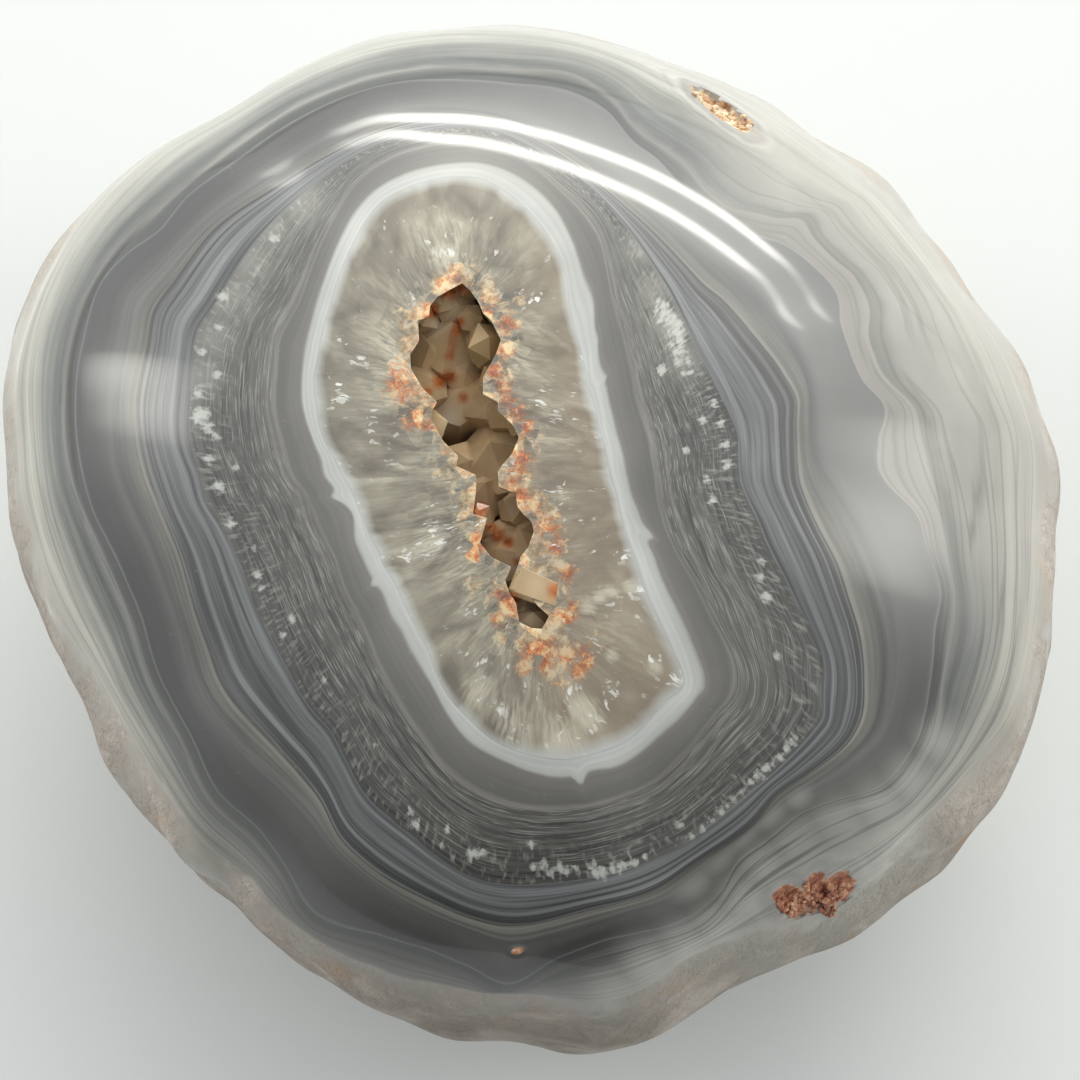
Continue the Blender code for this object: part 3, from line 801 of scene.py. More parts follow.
parting = add_node(tree, "ShaderNodeMath", {0: parting, 1: parting_zone}, operation="MULTIPLY")
towards_front = add_node(tree, "ShaderNodeMapRange", {0: along, 1: -9 * MM, 2: 4 * MM, 3: 1.0, 4: 0.35})
parting = add_node(tree, "ShaderNodeMath", {0: parting, 1: towards_front}, operation="MULTIPLY")
colour = add_node(
    tree, "ShaderNodeMix", {"Factor": parting, 6: colour, 7: linear(PARTING_COLOUR)},
    output=2, data_type="RGBA",
)

# Clouds: the whole stone is a little uneven
CLOUD_MM = 3.2
clouds = add_node(tree, "ShaderNodeTexNoise", {"Vector": place, "Scale": per_mm(CLOUD_MM), "Detail": 3.0})
colour = add_node(
    tree, "ShaderNodeMix", {"Factor": 0.22, 6: colour, 7: clouds}, output=2, data_type="RGBA",
    blend_type="OVERLAY",
)

# The natural skin: dull, chalky and pitted, beige grey with patches of ochre and rust
RIND_COLOURS = (
    (0.25, "#7f776b"), (0.4, "#978e82"), (0.52, "#aba095"), (0.62, "#b9afa4"), (0.75, "#c6bdb2"),
)
OCHRE_COLOURS = ((0.3, "#a0714a"), (0.5, "#b48a5c"), (0.7, "#c7a679"))
RIND_BLOTCH_MM = 2.4
SWIRL_MM = 3.0
SWIRL_LINES = 14.0
OCHRE_PATCH_MM = 4.5
rind_noise = add_node(
    tree, "ShaderNodeTexNoise",
    {"Vector": place, "Scale": per_mm(RIND_BLOTCH_MM), "Detail": 5.0, "Roughness": 0.56, "Distortion": 0.7},
)
rind = add_node(tree, "ShaderNodeValToRGB", {"Fac": rind_noise}, stops=RIND_COLOURS)
swirl = add_node(
    tree, "ShaderNodeTexNoise",
    {"Vector": place, "Scale": per_mm(SWIRL_MM), "Detail": 2.0, "Distortion": 1.2},
)
swirl = add_node(tree, "ShaderNodeMath", {0: swirl, 1: SWIRL_LINES}, operation="MULTIPLY")
swirl = add_node(tree, "ShaderNodeMath", {0: swirl, 1: 1.0}, operation="PINGPONG")
swirl = add_node(tree, "ShaderNodeMapRange", {0: swirl, 1: 0.0, 2: 0.5, 3: 0.11, 4: 0.0})
rind = add_node(
    tree, "ShaderNodeMix", {"Factor": swirl, 6: rind, 7: linear(PARTING_COLOUR)}, output=2, data_type="RGBA"
)
ochre_noise = add_node(
    tree, "ShaderNodeTexNoise",
    {"Vector": place, "Scale": per_mm(OCHRE_PATCH_MM), "Detail": 4.0, "Roughness": 0.6},
)
ochre_patch = add_node(tree, "ShaderNodeMapRange", {0: ochre_noise, 1: 0.6, 2: 0.74, 3: 0.0, 4: 0.65})
ochre = add_node(tree, "ShaderNodeValToRGB", {"Fac": rind_noise}, stops=OCHRE_COLOURS)
rind = add_node(tree, "ShaderNodeMix", {"Factor": ochre_patch, 6: rind, 7: ochre}, output=2, data_type="RGBA")

# It starts past the polish, at layer 9, with a ragged edge, and less where the layers are milky
ragged = add_node(tree, "ShaderNodeMapRange", {0: rind_noise, 1: 0.3, 2: 0.7, 3: -0.12, 4: 0.12})
ragged = add_node(tree, "ShaderNodeMath", {0: layer, 1: ragged}, operation="ADD")
skin = add_node(tree, "ShaderNodeMapRange", {0: ragged, 1: 8.97, 2: 9.1, 3: 0.0, 4: 1.0})
rind_share = add_node(tree, "ShaderNodeMapRange", {0: ragged, 1: 8.85, 2: 9.12, 3: 0.0, 4: 1.0})
bare = add_node(tree, "ShaderNodeMath", {0: 1.0, 1: pale_mark}, operation="SUBTRACT")
rind_share = add_node(tree, "ShaderNodeMath", {0: rind_share, 1: bare}, operation="MULTIPLY")
colour = add_node(
    tree, "ShaderNodeMix", {"Factor": rind_share, 6: colour, 7: rind}, output=2, data_type="RGBA"
)

# Painted shade: the outermost layers and the skin are darker at the very front, where less light reaches them
painted_foremost_shade = add_node(tree, "ShaderNodeMapRange", {0: backwards, 1: -18.5 * MM, 2: -14 * MM, 3: 0.78, 4: 1.0})
foremost_zone = add_node(tree, "ShaderNodeMapRange", {0: layer, 1: 7.8, 2: 8.6, 3: 0.0, 4: 1.0})
colour = add_node(
    tree, "ShaderNodeMix", {"Factor": foremost_zone, 6: colour, 7: painted_foremost_shade}, output=2, data_type="RGBA",
    blend_type="MULTIPLY",
)

# The pits' walls: dull, and stained reddish brown in front and ochre at the back
FRONT_STAIN = ((0.34, "#6e3f2c"), (0.46, "#9a5f47"), (0.54, "#b67f60"), (0.62, "#d2a988"), (0.7, "#dcc3a6"))
BACK_STAIN = ((0.34, "#8a6248"), (0.46, "#c39b76"), (0.54, "#dcc5a2"), (0.66, "#e8dcc6"))
STAIN_WIDTH_SHARE = 0.88
STAIN_DEPTH_MM = 2.5
ragged_edge = add_node(tree, "ShaderNodeTexNoise", {"Vector": place, "Scale": per_mm(0.35), "Detail": 3.0})
ragged_edge = add_node(tree, "ShaderNodeMapRange", {0: ragged_edge, 1: 0.3, 2: 0.7, 3: -0.2, 4: 0.2})
in_pit = 0.0
for (x, y), (half_length, half_width, _), turn in PITS:
    pit_place = add_node(
        tree, "ShaderNodeMapping",
        {
            "Vector": place,
            "Location": (x * MM, y * MM, float(dome_height(x, y)) * MM),
            "Rotation": (0.0, 0.0, math.radians(turn)),
            "Scale": (half_length * MM, half_width * STAIN_WIDTH_SHARE * MM, STAIN_DEPTH_MM * MM),
        },
        vector_type="TEXTURE",
    )
    out = add_node(tree, "ShaderNodeVectorMath", {0: pit_place}, output="Value", operation="LENGTH")
    out = add_node(tree, "ShaderNodeMath", {0: out, 1: ragged_edge}, operation="ADD")
    inside = add_node(tree, "ShaderNodeMapRange", {0: out, 1: 0.98, 2: 1.1, 3: 1.0, 4: 0.0})
    in_pit = add_node(tree, "ShaderNodeMath", {0: in_pit, 1: inside}, operation="MAXIMUM")
mottle = add_node(
    tree, "ShaderNodeTexNoise", {"Vector": place, "Scale": per_mm(0.5), "Detail": 4.0, "Roughness": 0.7}
)
front = add_node(tree, "ShaderNodeValToRGB", {"Fac": mottle}, stops=FRONT_STAIN)
back = add_node(tree, "ShaderNodeValToRGB", {"Fac": mottle}, stops=BACK_STAIN)
behind = add_node(tree, "ShaderNodeMath", {0: along, 1: 0.0}, operation="GREATER_THAN")
stain = add_node(tree, "ShaderNodeMix", {"Factor": behind, 6: front, 7: back}, output=2, data_type="RGBA")
colour = add_node(tree, "ShaderNodeMix", {"Factor": in_pit, 6: colour, 7: stain}, output=2, data_type="RGBA")
tree.links.new(colour, shader.inputs["Base Color"])

# The polish lies as a clear coat on a softer body, and the gritty skin and the pits have none
POLISH_ROUGHNESS = 0.32
SKIN_ROUGHNESS = 0.75
SKIN_RELIEF_MM = 0.3
GRIT_MM = 0.55
dull = add_node(tree, "ShaderNodeMath", {0: skin, 1: in_pit}, operation="MAXIMUM")
roughness = add_node(
    tree, "ShaderNodeMapRange", {0: dull, 1: 0.0, 2: 1.0, 3: POLISH_ROUGHNESS, 4: SKIN_ROUGHNESS}
)
tree.links.new(roughness, shader.inputs["Roughness"])
grit = add_node(
    tree, "ShaderNodeTexNoise", {"Vector": place, "Scale": per_mm(GRIT_MM), "Detail": 4.0, "Roughness": 0.7}
)
relief = add_node(
    tree, "ShaderNodeBump", {"Strength": skin, "Distance": SKIN_RELIEF_MM * MM, "Height": grit}
)
tree.links.new(relief, shader.inputs["Normal"])
shader.inputs["IOR"].default_value = 1.54
polish = add_node(tree, "ShaderNodeMapRange", {0: dull, 1: 0.0, 2: 1.0, 3: 0.8, 4: 0.0})
tree.links.new(polish, shader.inputs["Coat Weight"])
shader.inputs["Coat Roughness"].default_value = 0.06
shader.inputs["Coat IOR"].default_value = 1.5
nodule.data.materials.append(chalcedony)
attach(nodule, "root")
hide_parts("agate_nodule")


# The quartz: clear grey crystals that grew inwards from the last white band and filled most
# of the bubble. They are one crust, ground flush with the dome, round the gap that stayed open.
# The gap's outline in the polished face, in the photograph's pixels, by the spoke at each corner
MOUTH = {
    0: (498, 472), 4: (501, 467), 10: (512, 454), 15: (519, 437), 22: (512, 424), 30: (498, 411),
    33: (498, 402), 38: (483, 394), 42: (483, 378), 50: (496, 354), 57: (501, 340), 68: (491, 320),
    73: (483, 313), 79: (479, 303), 90: (470, 290), 103: (462, 283), 108: (449, 290),
    113: (437, 297), 118: (430, 306), 122: (429, 316), 126: (418, 321), 133: (419, 341),
    139: (410, 354), 145: (411, 369), 152: (423, 389), 157: (437, 402), 160: (433, 409),
    164: (431, 419), 170: (443, 441), 176: (458, 456), 180: (456, 466), 185: (476, 475),
    193: (476, 490), 203: (473, 514), 210: (487, 518), 220: (480, 543), 228: (491, 557),
    236: (511, 567), 240: (505, 581), 248: (510, 594), 252: (516, 603), 262: (519, 622),
    274: (531, 628), 285: (542, 629), 298: (546, 622), 310: (549, 616), 316: (538, 606),
    322: (527, 592), 327: (516, 572), 331: (521, 556), 334: (528, 548), 337: (534, 531),
    341: (531, 521), 344: (524, 515), 347: (517, 506), 350: (516, 493), 356: (499, 487),
}
corner_turns = sorted(MOUTH)
mouth_across, mouth_down = (
    np.interp(spoke_angles, corner_turns, [MOUTH[turn][axis] for turn in corner_turns], period=360.0)
    for axis in (0, 1)
)
mouth_edge = on_dome(mouth_across, mouth_down)

# Under its lip the gap widens into a long pocket: level and share of full size
POCKET_MIDDLE = np.array((-1.6, 0.3))
POCKET_HALF_WIDTH = 3.2
POCKET_HALF_LENGTH = 7.8
POCKET_TURN = math.radians(12.0)
POCKET_LEVELS = ((21.3, 0.9), (20.2, 1.0), (19.0, 1.05), (18.0, 1.0), (16.8, 0.9), (15.9, 0.72), (15.3, 0.45))
LIP_ROWS = ((0.05, 0.0), (0.3, 0.03), (0.6, 0.08), (0.95, 0.25), (1.35, 0.6))
FACE_ROWS = 30
POCKET_FLOOR = 15.2


def pocket_ring(toward, height, size):
    """A ring of the pocket's wall, whose points lie in the same directions as those of another ring."""
    arms = toward[:, :2] - POCKET_MIDDLE
    direction = np.arctan2(arms[:, 1], arms[:, 0]) - POCKET_TURN
    shape = np.hypot(np.cos(direction) / POCKET_HALF_WIDTH, np.sin(direction) / POCKET_HALF_LENGTH)
    radius = size / shape
    direction += POCKET_TURN
    return np.stack((
        POCKET_MIDDLE[0] + radius * np.cos(direction),
        POCKET_MIDDLE[1] + radius * np.sin(direction),
        np.full(len(toward), height),
    ), axis=1)


# The crust's rows run from the bottom of the cup up its outside, in over the polished face
# and down into the gap
quartz_rows = []
fan = []
lip_distance = []
FAN_RADIUS = 6.0
FACE_MM = 5.0
fan_ring = np.stack((np.cos(turns), np.sin(turns)), axis=1) * FAN_RADIUS
face_width = np.linalg.norm(cup_rim - mouth_edge, axis=1)


def add_quartz_row(points, share):
    quartz_rows.append(points)
    fan.append(np.column_stack((fan_ring, np.full(SPOKES, share * FACE_MM))))
    lip_distance.append(face_width * share)


OVERLAP = 0.03
for step in range(CUP_ROWS):
    add_quartz_row(cup_row(step, OVERLAP), 1.0)
rim_across, rim_down = pixels_at(spoke_angles, lines[0])
for step in range(FACE_ROWS + 1):
    inward = step / FACE_ROWS
    across = rim_across + (mouth_across - rim_across) * inward
    down = rim_down + (mouth_down - rim_down) * inward
    add_quartz_row(on_dome(across, down), 1 - inward)
upper_level, upper_size = POCKET_LEVELS[0]
upper_ring = pocket_ring(cup_rim, upper_level, upper_size)
for depth, share in LIP_ROWS:
    lip = mouth_edge + (upper_ring - mouth_edge) * share
    lip[:, 2] = mouth_edge[:, 2] - depth
    add_quartz_row(lip, 0.0)
for level, size in POCKET_LEVELS:
    add_quartz_row(pocket_ring(cup_rim, level, size), 0.0)
add_quartz_row(np.broadcast_to((*POCKET_MIDDLE, POCKET_FLOOR), (SPOKES, 3)), 0.0)
quartz_rows[0] = np.broadcast_to(quartz_rows[0].mean(axis=0), quartz_rows[0].shape)
quartz = wrapped_grid("quartz_infill", quartz_rows)
quartz.data.set_sharp_from_angle(angle=RIM_ANGLE)
give_attribute(quartz, "fan", fan)

# Iron stain round the gap, where the photograph shows it: pixels across, down and in size
RUST_MARKS = (
    (455, 287, 12), (433, 311, 8), (395, 383, 14), (404, 396, 11), (416, 421, 11), (426, 424, 9),
    (489, 314, 6), (507, 325, 9), (505, 350, 8), (494, 372, 9), (502, 385, 10), (509, 401, 9),
    (518, 413, 10), (528, 426, 8), (525, 458, 9), (519, 470, 10), (511, 480, 8), (520, 495, 9),
    (535, 508, 9), (546, 525, 12), (556, 545, 10), (568, 572, 9), (479, 546, 8), (472, 555, 6),
    (480, 510, 7), (500, 536, 10), (497, 594, 7), (506, 598, 8), (512, 612, 6), (497, 624, 8),
    (566, 618, 9), (574, 606, 7), (531, 652, 10), (549, 650, 12), (566, 655, 13), (581, 652, 11),
    (575, 668, 11), (588, 662, 8), (544, 664, 9), (524, 668, 8), (451, 343, 10), (448, 383, 9),
    (462, 330, 7), (522, 537, 6),
)
CREAM_MARKS = (
    (466, 275, 12), (484, 287, 10), (440, 283, 9), (404, 322, 12), (405, 336, 13), (409, 350, 10),
    (424, 388, 16), (430, 404, 12), (414, 412, 10), (455, 446, 18), (462, 463, 14), (446, 478, 16),
    (470, 500, 15), (520, 300, 7), (492, 296, 8), (511, 318, 8), (500, 395, 9), (522, 440, 7),
    (513, 488, 12), (530, 497, 14), (548, 512, 14), (560, 530, 12), (540, 548, 16), (556, 566, 16),
    (552, 590, 14), (475, 590, 13), (486, 601, 9), (540, 570, 14), (505, 610, 10), (530, 640, 14),
    (556, 632, 14), (560, 616, 10), (500, 636, 10), (480, 530, 12), (590, 640, 10), (560, 672, 14),
)


def give_marks(piece, name, marks):
    """Writes how strongly each vertex lies in some marks onto a piece."""
    mesh = piece.data
    spots = np.zeros(len(mesh.vertices) * 3, np.float32)
    mesh.vertices.foreach_get("co", spots)
    strength = marks_seen(spots.reshape(-1, 3) / MM, marks).astype(np.float32)
    mesh.attributes.new(name, "FLOAT", "POINT").data.foreach_set("value", strength)


# Painted glints: flat flaws that catch the light, in the groups that the photograph shows
GLINT_MARKS = (
    (441, 254, 9), (452, 252, 7), (339, 340, 6), (361, 367, 10), (343, 397, 10), (376, 425, 12),
    (516, 302, 9), (536, 297, 9), (402, 374, 6), (540, 401, 7), (557, 418, 6), (579, 453, 6),
    (559, 497, 12), (440, 540, 16), (462, 528, 15), (402, 553, 8), (622, 558, 9), (590, 610, 12),
    (612, 600, 13), (634, 590, 12), (598, 647, 8), (463, 651, 7), (480, 664, 7), (469, 612, 9),
    (502, 711, 9), (572, 700, 14), (596, 712, 14), (560, 728, 10), (657, 673, 14), (675, 683, 10),
    (483, 683, 8), (545, 690, 10), (610, 690, 9), (640, 620, 12), (578, 745, 8),
)
# Milkier quartz and painted glints, where the photograph's quartz is brighter: pixels across, down and in
# size
MILK_AND_GLINT_MARKS = (
    (515, 722, 32), (560, 738, 28), (478, 690, 22), (585, 712, 22), (432, 540, 22), (445, 255, 14),
    (600, 598, 9), (588, 608, 10), (612, 592, 9), (632, 586, 10), (655, 668, 9), (612, 655, 9),
)
give_marks(quartz, "milk_and_glint", MILK_AND_GLINT_MARKS)
give_marks(quartz, "rust", RUST_MARKS)
give_marks(quartz, "cream", CREAM_MARKS)
give_marks(quartz, "glint", GLINT_MARKS)
give_attribute(quartz, "lip", lip_distance)

# Massive crystalline quartz, polished: cloudy grey, soft to look into, with smoky streaks that run
# the way it grew. Nearer the gap the crystals stand apart, clearer, with stained seams and flat flaws.
massive_quartz, tree, shader = new_material("polished_crystalline_quartz")
place = add_node(tree, "ShaderNodeTexCoord", output="Object")
fan_place = add_node(tree, "ShaderNodeAttribute", output="Vector", attribute_name="fan")
milk_and_glint_mark, rust_mark, cream_mark, glint_mark, lip = (
    add_node(tree, "ShaderNodeAttribute", output="Fac", attribute_name=name)
    for name in ("milk_and_glint", "rust", "cream", "glint", "lip")
)

# Smoky and milky streaks, broad and soft
STREAK_WIDTH_MM = 1.0
STREAK_LENGTH_MM = 2.8
streak_place = add_node(
    tree, "ShaderNodeMapping",
    {"Vector": fan_place, "Scale": (1 / STREAK_WIDTH_MM, 1 / STREAK_WIDTH_MM, 1 / STREAK_LENGTH_MM)},
)
streaks = add_node(
    tree, "ShaderNodeTexNoise",
    {"Vector": streak_place, "Scale": 1.0, "Detail": 2.0, "Roughness": 0.5, "Distortion": 0.8},
)
STREAK_COLOURS = (
    (0.3, "#736c5e"), (0.42, "#857e6f"), (0.5, "#918b7a"), (0.6, "#9f9988"), (0.72, "#aea897"),
)
colour = add_node(tree, "ShaderNodeValToRGB", {"Fac": streaks}, stops=STREAK_COLOURS)

# Clear crystals near the gap: each shows its own shade of grey through the polish
CELL_WIDTH_MM = 0.42
CELL_LENGTH_MM = 1.3
BEND_MM = 0.7
bend = add_node(
    tree, "ShaderNodeTexNoise", {"Vector": place, "Scale": per_mm(BEND_MM), "Detail": 2.0}, output="Color"
)
bend_mm = add_node(tree, "ShaderNodeVectorMath", {0: bend, "Scale": 0.4 * MM}, operation="SCALE")
bend = add_node(tree, "ShaderNodeVectorMath", {0: bend, "Scale": 0.5}, operation="SCALE")
bent_fan = add_node(tree, "ShaderNodeVectorMath", {0: fan_place, 1: bend}, operation="ADD")
cell_place = add_node(
    tree, "ShaderNodeMapping",
    {"Vector": bent_fan, "Scale": (1 / CELL_WIDTH_MM, 1 / CELL_WIDTH_MM, 1 / CELL_LENGTH_MM)},
)
cells = add_node(tree, "ShaderNodeTexVoronoi", {"Vector": cell_place, "Scale": 1.0}, output="Color")
cell_shade = add_node(tree, "ShaderNodeSeparateXYZ", {"Vector": cells}, output="X")
near_gap = add_node(tree, "ShaderNodeMapRange", {0: lip, 1: 0.3, 2: 3.2, 3: 0.32, 4: 0.03})
colour = add_node(
    tree, "ShaderNodeMix", {"Factor": near_gap, 6: colour, 7: cell_shade}, output=2, data_type="RGBA",
    blend_type="OVERLAY",
)

# Fine threads along the streaks
THREAD_WIDTH_MM = 0.08
THREAD_LENGTH_MM = 0.9
gentle = add_node(tree, "ShaderNodeVectorMath", {0: bend, "Scale": 0.35}, operation="SCALE")
thread_place = add_node(tree, "ShaderNodeVectorMath", {0: fan_place, 1: gentle}, operation="ADD")
thread_place = add_node(
    tree, "ShaderNodeMapping",
    {"Vector": thread_place, "Scale": (1 / THREAD_WIDTH_MM, 1 / THREAD_WIDTH_MM, 1 / THREAD_LENGTH_MM)},
)
threads = add_node(tree, "ShaderNodeTexNoise", {"Vector": thread_place, "Scale": 1.0, "Detail": 3.0})
threads = add_node(tree, "ShaderNodeMapRange", {0: threads, 1: 0.35, 2: 0.65, 3: 0.0, 4: 1.0})
outwards = add_node(tree, "ShaderNodeSeparateXYZ", {"Vector": fan_place}, output="Z")
thread_strength = add_node(tree, "ShaderNodeMapRange", {0: outwards, 1: 1.2, 2: 4.2, 3: 0.26, 4: 0.06})
patchy = add_node(tree, "ShaderNodeMapRange", {0: streaks, 1: 0.35, 2: 0.65, 3: 0.4, 4: 1.2})
thread_strength = add_node(tree, "ShaderNodeMath", {0: thread_strength, 1: patchy}, operation="MULTIPLY")
colour = add_node(
    tree, "ShaderNodeMix", {"Factor": thread_strength, 6: colour, 7: threads}, output=2, data_type="RGBA",
    blend_type="OVERLAY",
)

# A warmer tint on the right
WARM_TINT = "#947e68"
side = add_node(tree, "ShaderNodeSeparateXYZ", {"Vector": place}, output="X")
warm = add_node(tree, "ShaderNodeMapRange", {0: side, 1: -1.0 * MM, 2: 1.5 * MM, 3: 0.0, 4: 0.4})
colour = add_node(
    tree, "ShaderNodeMix", {"Factor": warm, 6: colour, 7: linear(WARM_TINT)}, output=2, data_type="RGBA"
)

# Milkier patches: partly milky quartz, partly painted glints where the light catches the crystals
MILK_AND_GLINT_COLOUR = "#c6c0ae"
milk_and_glint = add_node(tree, "ShaderNodeMath", {0: threads, 1: 0.4, 2: streaks}, operation="MULTIPLY_ADD")
milk_and_glint = add_node(tree, "ShaderNodeMath", {0: milk_and_glint, 1: milk_and_glint_mark}, operation="MULTIPLY")
milk_and_glint = add_node(tree, "ShaderNodeMapRange", {0: milk_and_glint, 1: 0.25, 2: 0.8, 3: 0.0, 4: 0.9})
colour = add_node(
    tree, "ShaderNodeMix", {"Factor": milk_and_glint, 6: colour, 7: linear(MILK_AND_GLINT_COLOUR)}, output=2, data_type="RGBA"
)

# Smokier towards the left
smoky = add_node(tree, "ShaderNodeMapRange", {0: side, 1: -7.0 * MM, 2: -4.8 * MM, 3: 0.68, 4: 1.0})
colour = add_node(
    tree, "ShaderNodeMix", {"Factor": 1.0, 6: colour, 7: smoky}, output=2, data_type="RGBA",
    blend_type="MULTIPLY",
)

# The quartz turns white where it starts on the white band
BAND_WHITE = "#bebfba"
whiten = add_node(tree, "ShaderNodeMath", {0: streaks, 1: 0.6}, operation="MULTIPLY")
whiten = add_node(tree, "ShaderNodeMath", {0: outwards, 1: whiten}, operation="ADD")
whiten = add_node(
    tree, "ShaderNodeMapRange", {0: whiten, 1: FACE_MM * 0.96, 2: FACE_MM * 1.06, 3: 0.0, 4: 1.0}
)
colour = add_node(
    tree, "ShaderNodeMix", {"Factor": whiten, 6: colour, 7: linear(BAND_WHITE)}, output=2, data_type="RGBA"
)

# Round the gap the polish cuts through many small crystals
FACET_MM = 0.38
facet_place = add_node(tree, "ShaderNodeVectorMath", {0: place, 1: bend_mm}, operation="ADD")
facets = add_node(
    tree, "ShaderNodeTexVoronoi", {"Vector": facet_place, "Scale": per_mm(FACET_MM)}, output="Color"
)
facet_shade = add_node(tree, "ShaderNodeSeparateXYZ", {"Vector": facets}, output="X")

# Stain: cream clay and rusty iron, in the seams between small crystals and ragged at its edges
CREAM_COLOURS = ((0.3, "#8d7450"), (0.5, "#b39b76"), (0.7, "#c9bda2"))
RUST_COLOURS = ((0.3, "#98471b"), (0.46, "#bb6c30"), (0.58, "#c8925c"), (0.72, "#ceb48e"))
STAIN_GRAIN_MM = 0.5
grains = add_node(
    tree, "ShaderNodeTexNoise",
    {"Vector": place, "Scale": per_mm(STAIN_GRAIN_MM), "Detail": 4.0, "Roughness": 0.75},
)
grains = add_node(tree, "ShaderNodeMapRange", {0: grains, 1: 0.3, 2: 0.7, 3: 0.0, 4: 1.0})
seams = add_node(
    tree, "ShaderNodeTexVoronoi", {"Vector": cell_place, "Scale": 1.6}, output="Distance",
    feature="DISTANCE_TO_EDGE",
)
seams = add_node(tree, "ShaderNodeMapRange", {0: seams, 1: 0.0, 2: 0.16, 3: 0.35, 4: 0.0})
edge_stain = add_node(tree, "ShaderNodeMapRange", {0: lip, 1: 0.0, 2: 1.1, 3: 0.6, 4: 0.0})
ragged = add_node(tree, "ShaderNodeMath", {0: grains, 1: seams}, operation="ADD")
uneven = add_node(tree, "ShaderNodeMapRange", {0: facet_shade, 1: 0.0, 2: 1.0, 3: -0.28, 4: 0.28})
ragged = add_node(tree, "ShaderNodeMath", {0: ragged, 1: uneven}, operation="ADD")
clay = add_node(tree, "ShaderNodeMath", {0: cream_mark, 1: edge_stain}, operation="ADD")
cream = add_node(tree, "ShaderNodeMath", {0: clay, 1: ragged}, operation="ADD")
cream = add_node(tree, "ShaderNodeMapRange", {0: cream, 1: 1.1, 2: 1.6, 3: 0.0, 4: 0.8})
near_stain = add_node(tree, "ShaderNodeMath", {0: clay, 1: rust_mark}, operation="ADD")
near_stain = add_node(tree, "ShaderNodeMapRange", {0: near_stain, 1: 0.0, 2: 0.4, 3: 0.0, 4: 1.0})
cream = add_node(tree, "ShaderNodeMath", {0: cream, 1: near_stain}, operation="MULTIPLY")
cream_colour = add_node(tree, "ShaderNodeValToRGB", {"Fac": grains}, stops=CREAM_COLOURS)
colour = add_node(
    tree, "ShaderNodeMix", {"Factor": cream, 6: colour, 7: cream_colour}, output=2, data_type="RGBA"
)
rust = add_node(tree, "ShaderNodeMath", {0: edge_stain, 1: 0.5}, operation="MULTIPLY")
rust = add_node(tree, "ShaderNodeMath", {0: rust_mark, 1: rust}, operation="ADD")
rust = add_node(tree, "ShaderNodeMath", {0: rust, 1: ragged}, operation="ADD")
rust = add_node(tree, "ShaderNodeMapRange", {0: rust, 1: 0.85, 2: 1.6, 3: 0.0, 4: 0.9})
rust = add_node(tree, "ShaderNodeMath", {0: rust, 1: near_stain}, operation="MULTIPLY")
rust_colour = add_node(tree, "ShaderNodeValToRGB", {"Fac": grains}, stops=RUST_COLOURS)
colour = add_node(
    tree, "ShaderNodeMix", {"Factor": rust, 6: colour, 7: rust_colour}, output=2, data_type="RGBA"
)

# Each of the small crystals has its own shade, with a bright seam to the next
SEAM_COLOUR = "#cdbfa6"
at_lip = add_node(tree, "ShaderNodeMapRange", {0: lip, 1: 0.25, 2: 1.3, 3: 0.45, 4: 0.0})
colour = add_node(
    tree, "ShaderNodeMix", {"Factor": at_lip, 6: colour, 7: facet_shade}, output=2, data_type="RGBA",
    blend_type="OVERLAY",
)
facet_seams = add_node(
    tree, "ShaderNodeTexVoronoi", {"Vector": facet_place, "Scale": per_mm(FACET_MM)}, output="Distance",
    feature="DISTANCE_TO_EDGE",
)
facet_seams = add_node(tree, "ShaderNodeMapRange", {0: facet_seams, 1: 0.0, 2: 0.07, 3: 1.2, 4: 0.0})
facet_seams = add_node(tree, "ShaderNodeMath", {0: facet_seams, 1: at_lip}, operation="MULTIPLY")
facet_seams = add_node(tree, "ShaderNodeMath", {0: facet_seams, 1: grains}, operation="MULTIPLY")
colour = add_node(
    tree, "ShaderNodeMix", {"Factor": facet_seams, 6: colour, 7: linear(SEAM_COLOUR)},
    output=2, data_type="RGBA",
)

# Glints: painted highlights, slivers where the light catches a flat flaw, brighter and fainter, in loose
# groups
GLINT_COLOUR = "#e4e4de"
FLAKE_WIDTH_MM = 0.08
FLAKE_LENGTH_MM = 0.32
flake_place = add_node(
    tree, "ShaderNodeMapping",
    {"Vector": bent_fan, "Scale": (1 / FLAKE_WIDTH_MM, 1 / FLAKE_WIDTH_MM, 1 / FLAKE_LENGTH_MM)},
)
flakes = add_node(tree, "ShaderNodeTexVoronoi", {"Vector": flake_place, "Scale": 1.0}, output="Color")
flake_chance = add_node(tree, "ShaderNodeSeparateXYZ", {"Vector": flakes}, output="Y")
flake_shine = add_node(tree, "ShaderNodeSeparateXYZ", {"Vector": flakes}, output="X")
groups = add_node(tree, "ShaderNodeTexNoise", {"Vector": place, "Scale": per_mm(0.6), "Detail": 3.0})
groups = add_node(tree, "ShaderNodeMapRange", {0: groups, 1: 0.35, 2: 0.7, 3: 0.0, 4: 0.4})
glint = add_node(tree, "ShaderNodeMath", {0: glint_mark, 1: 0.38, 2: groups}, operation="MULTIPLY_ADD")
glint = add_node(tree, "ShaderNodeMath", {0: glint, 1: flake_chance}, operation="ADD")
glint = add_node(tree, "ShaderNodeMapRange", {0: glint, 1: 1.2, 2: 1.34, 3: 0.0, 4: 1.0})
flake_shine = add_node(tree, "ShaderNodeMapRange", {0: flake_shine, 1: 0.0, 2: 1.0, 3: 0.25, 4: 1.0})
glint = add_node(tree, "ShaderNodeMath", {0: glint, 1: flake_shine}, operation="MULTIPLY")
colour = add_node(
    tree, "ShaderNodeMix", {"Factor": glint, 6: colour, 7: linear(GLINT_COLOUR)}, output=2, data_type="RGBA"
)
tree.links.new(colour, shader.inputs["Base Color"])

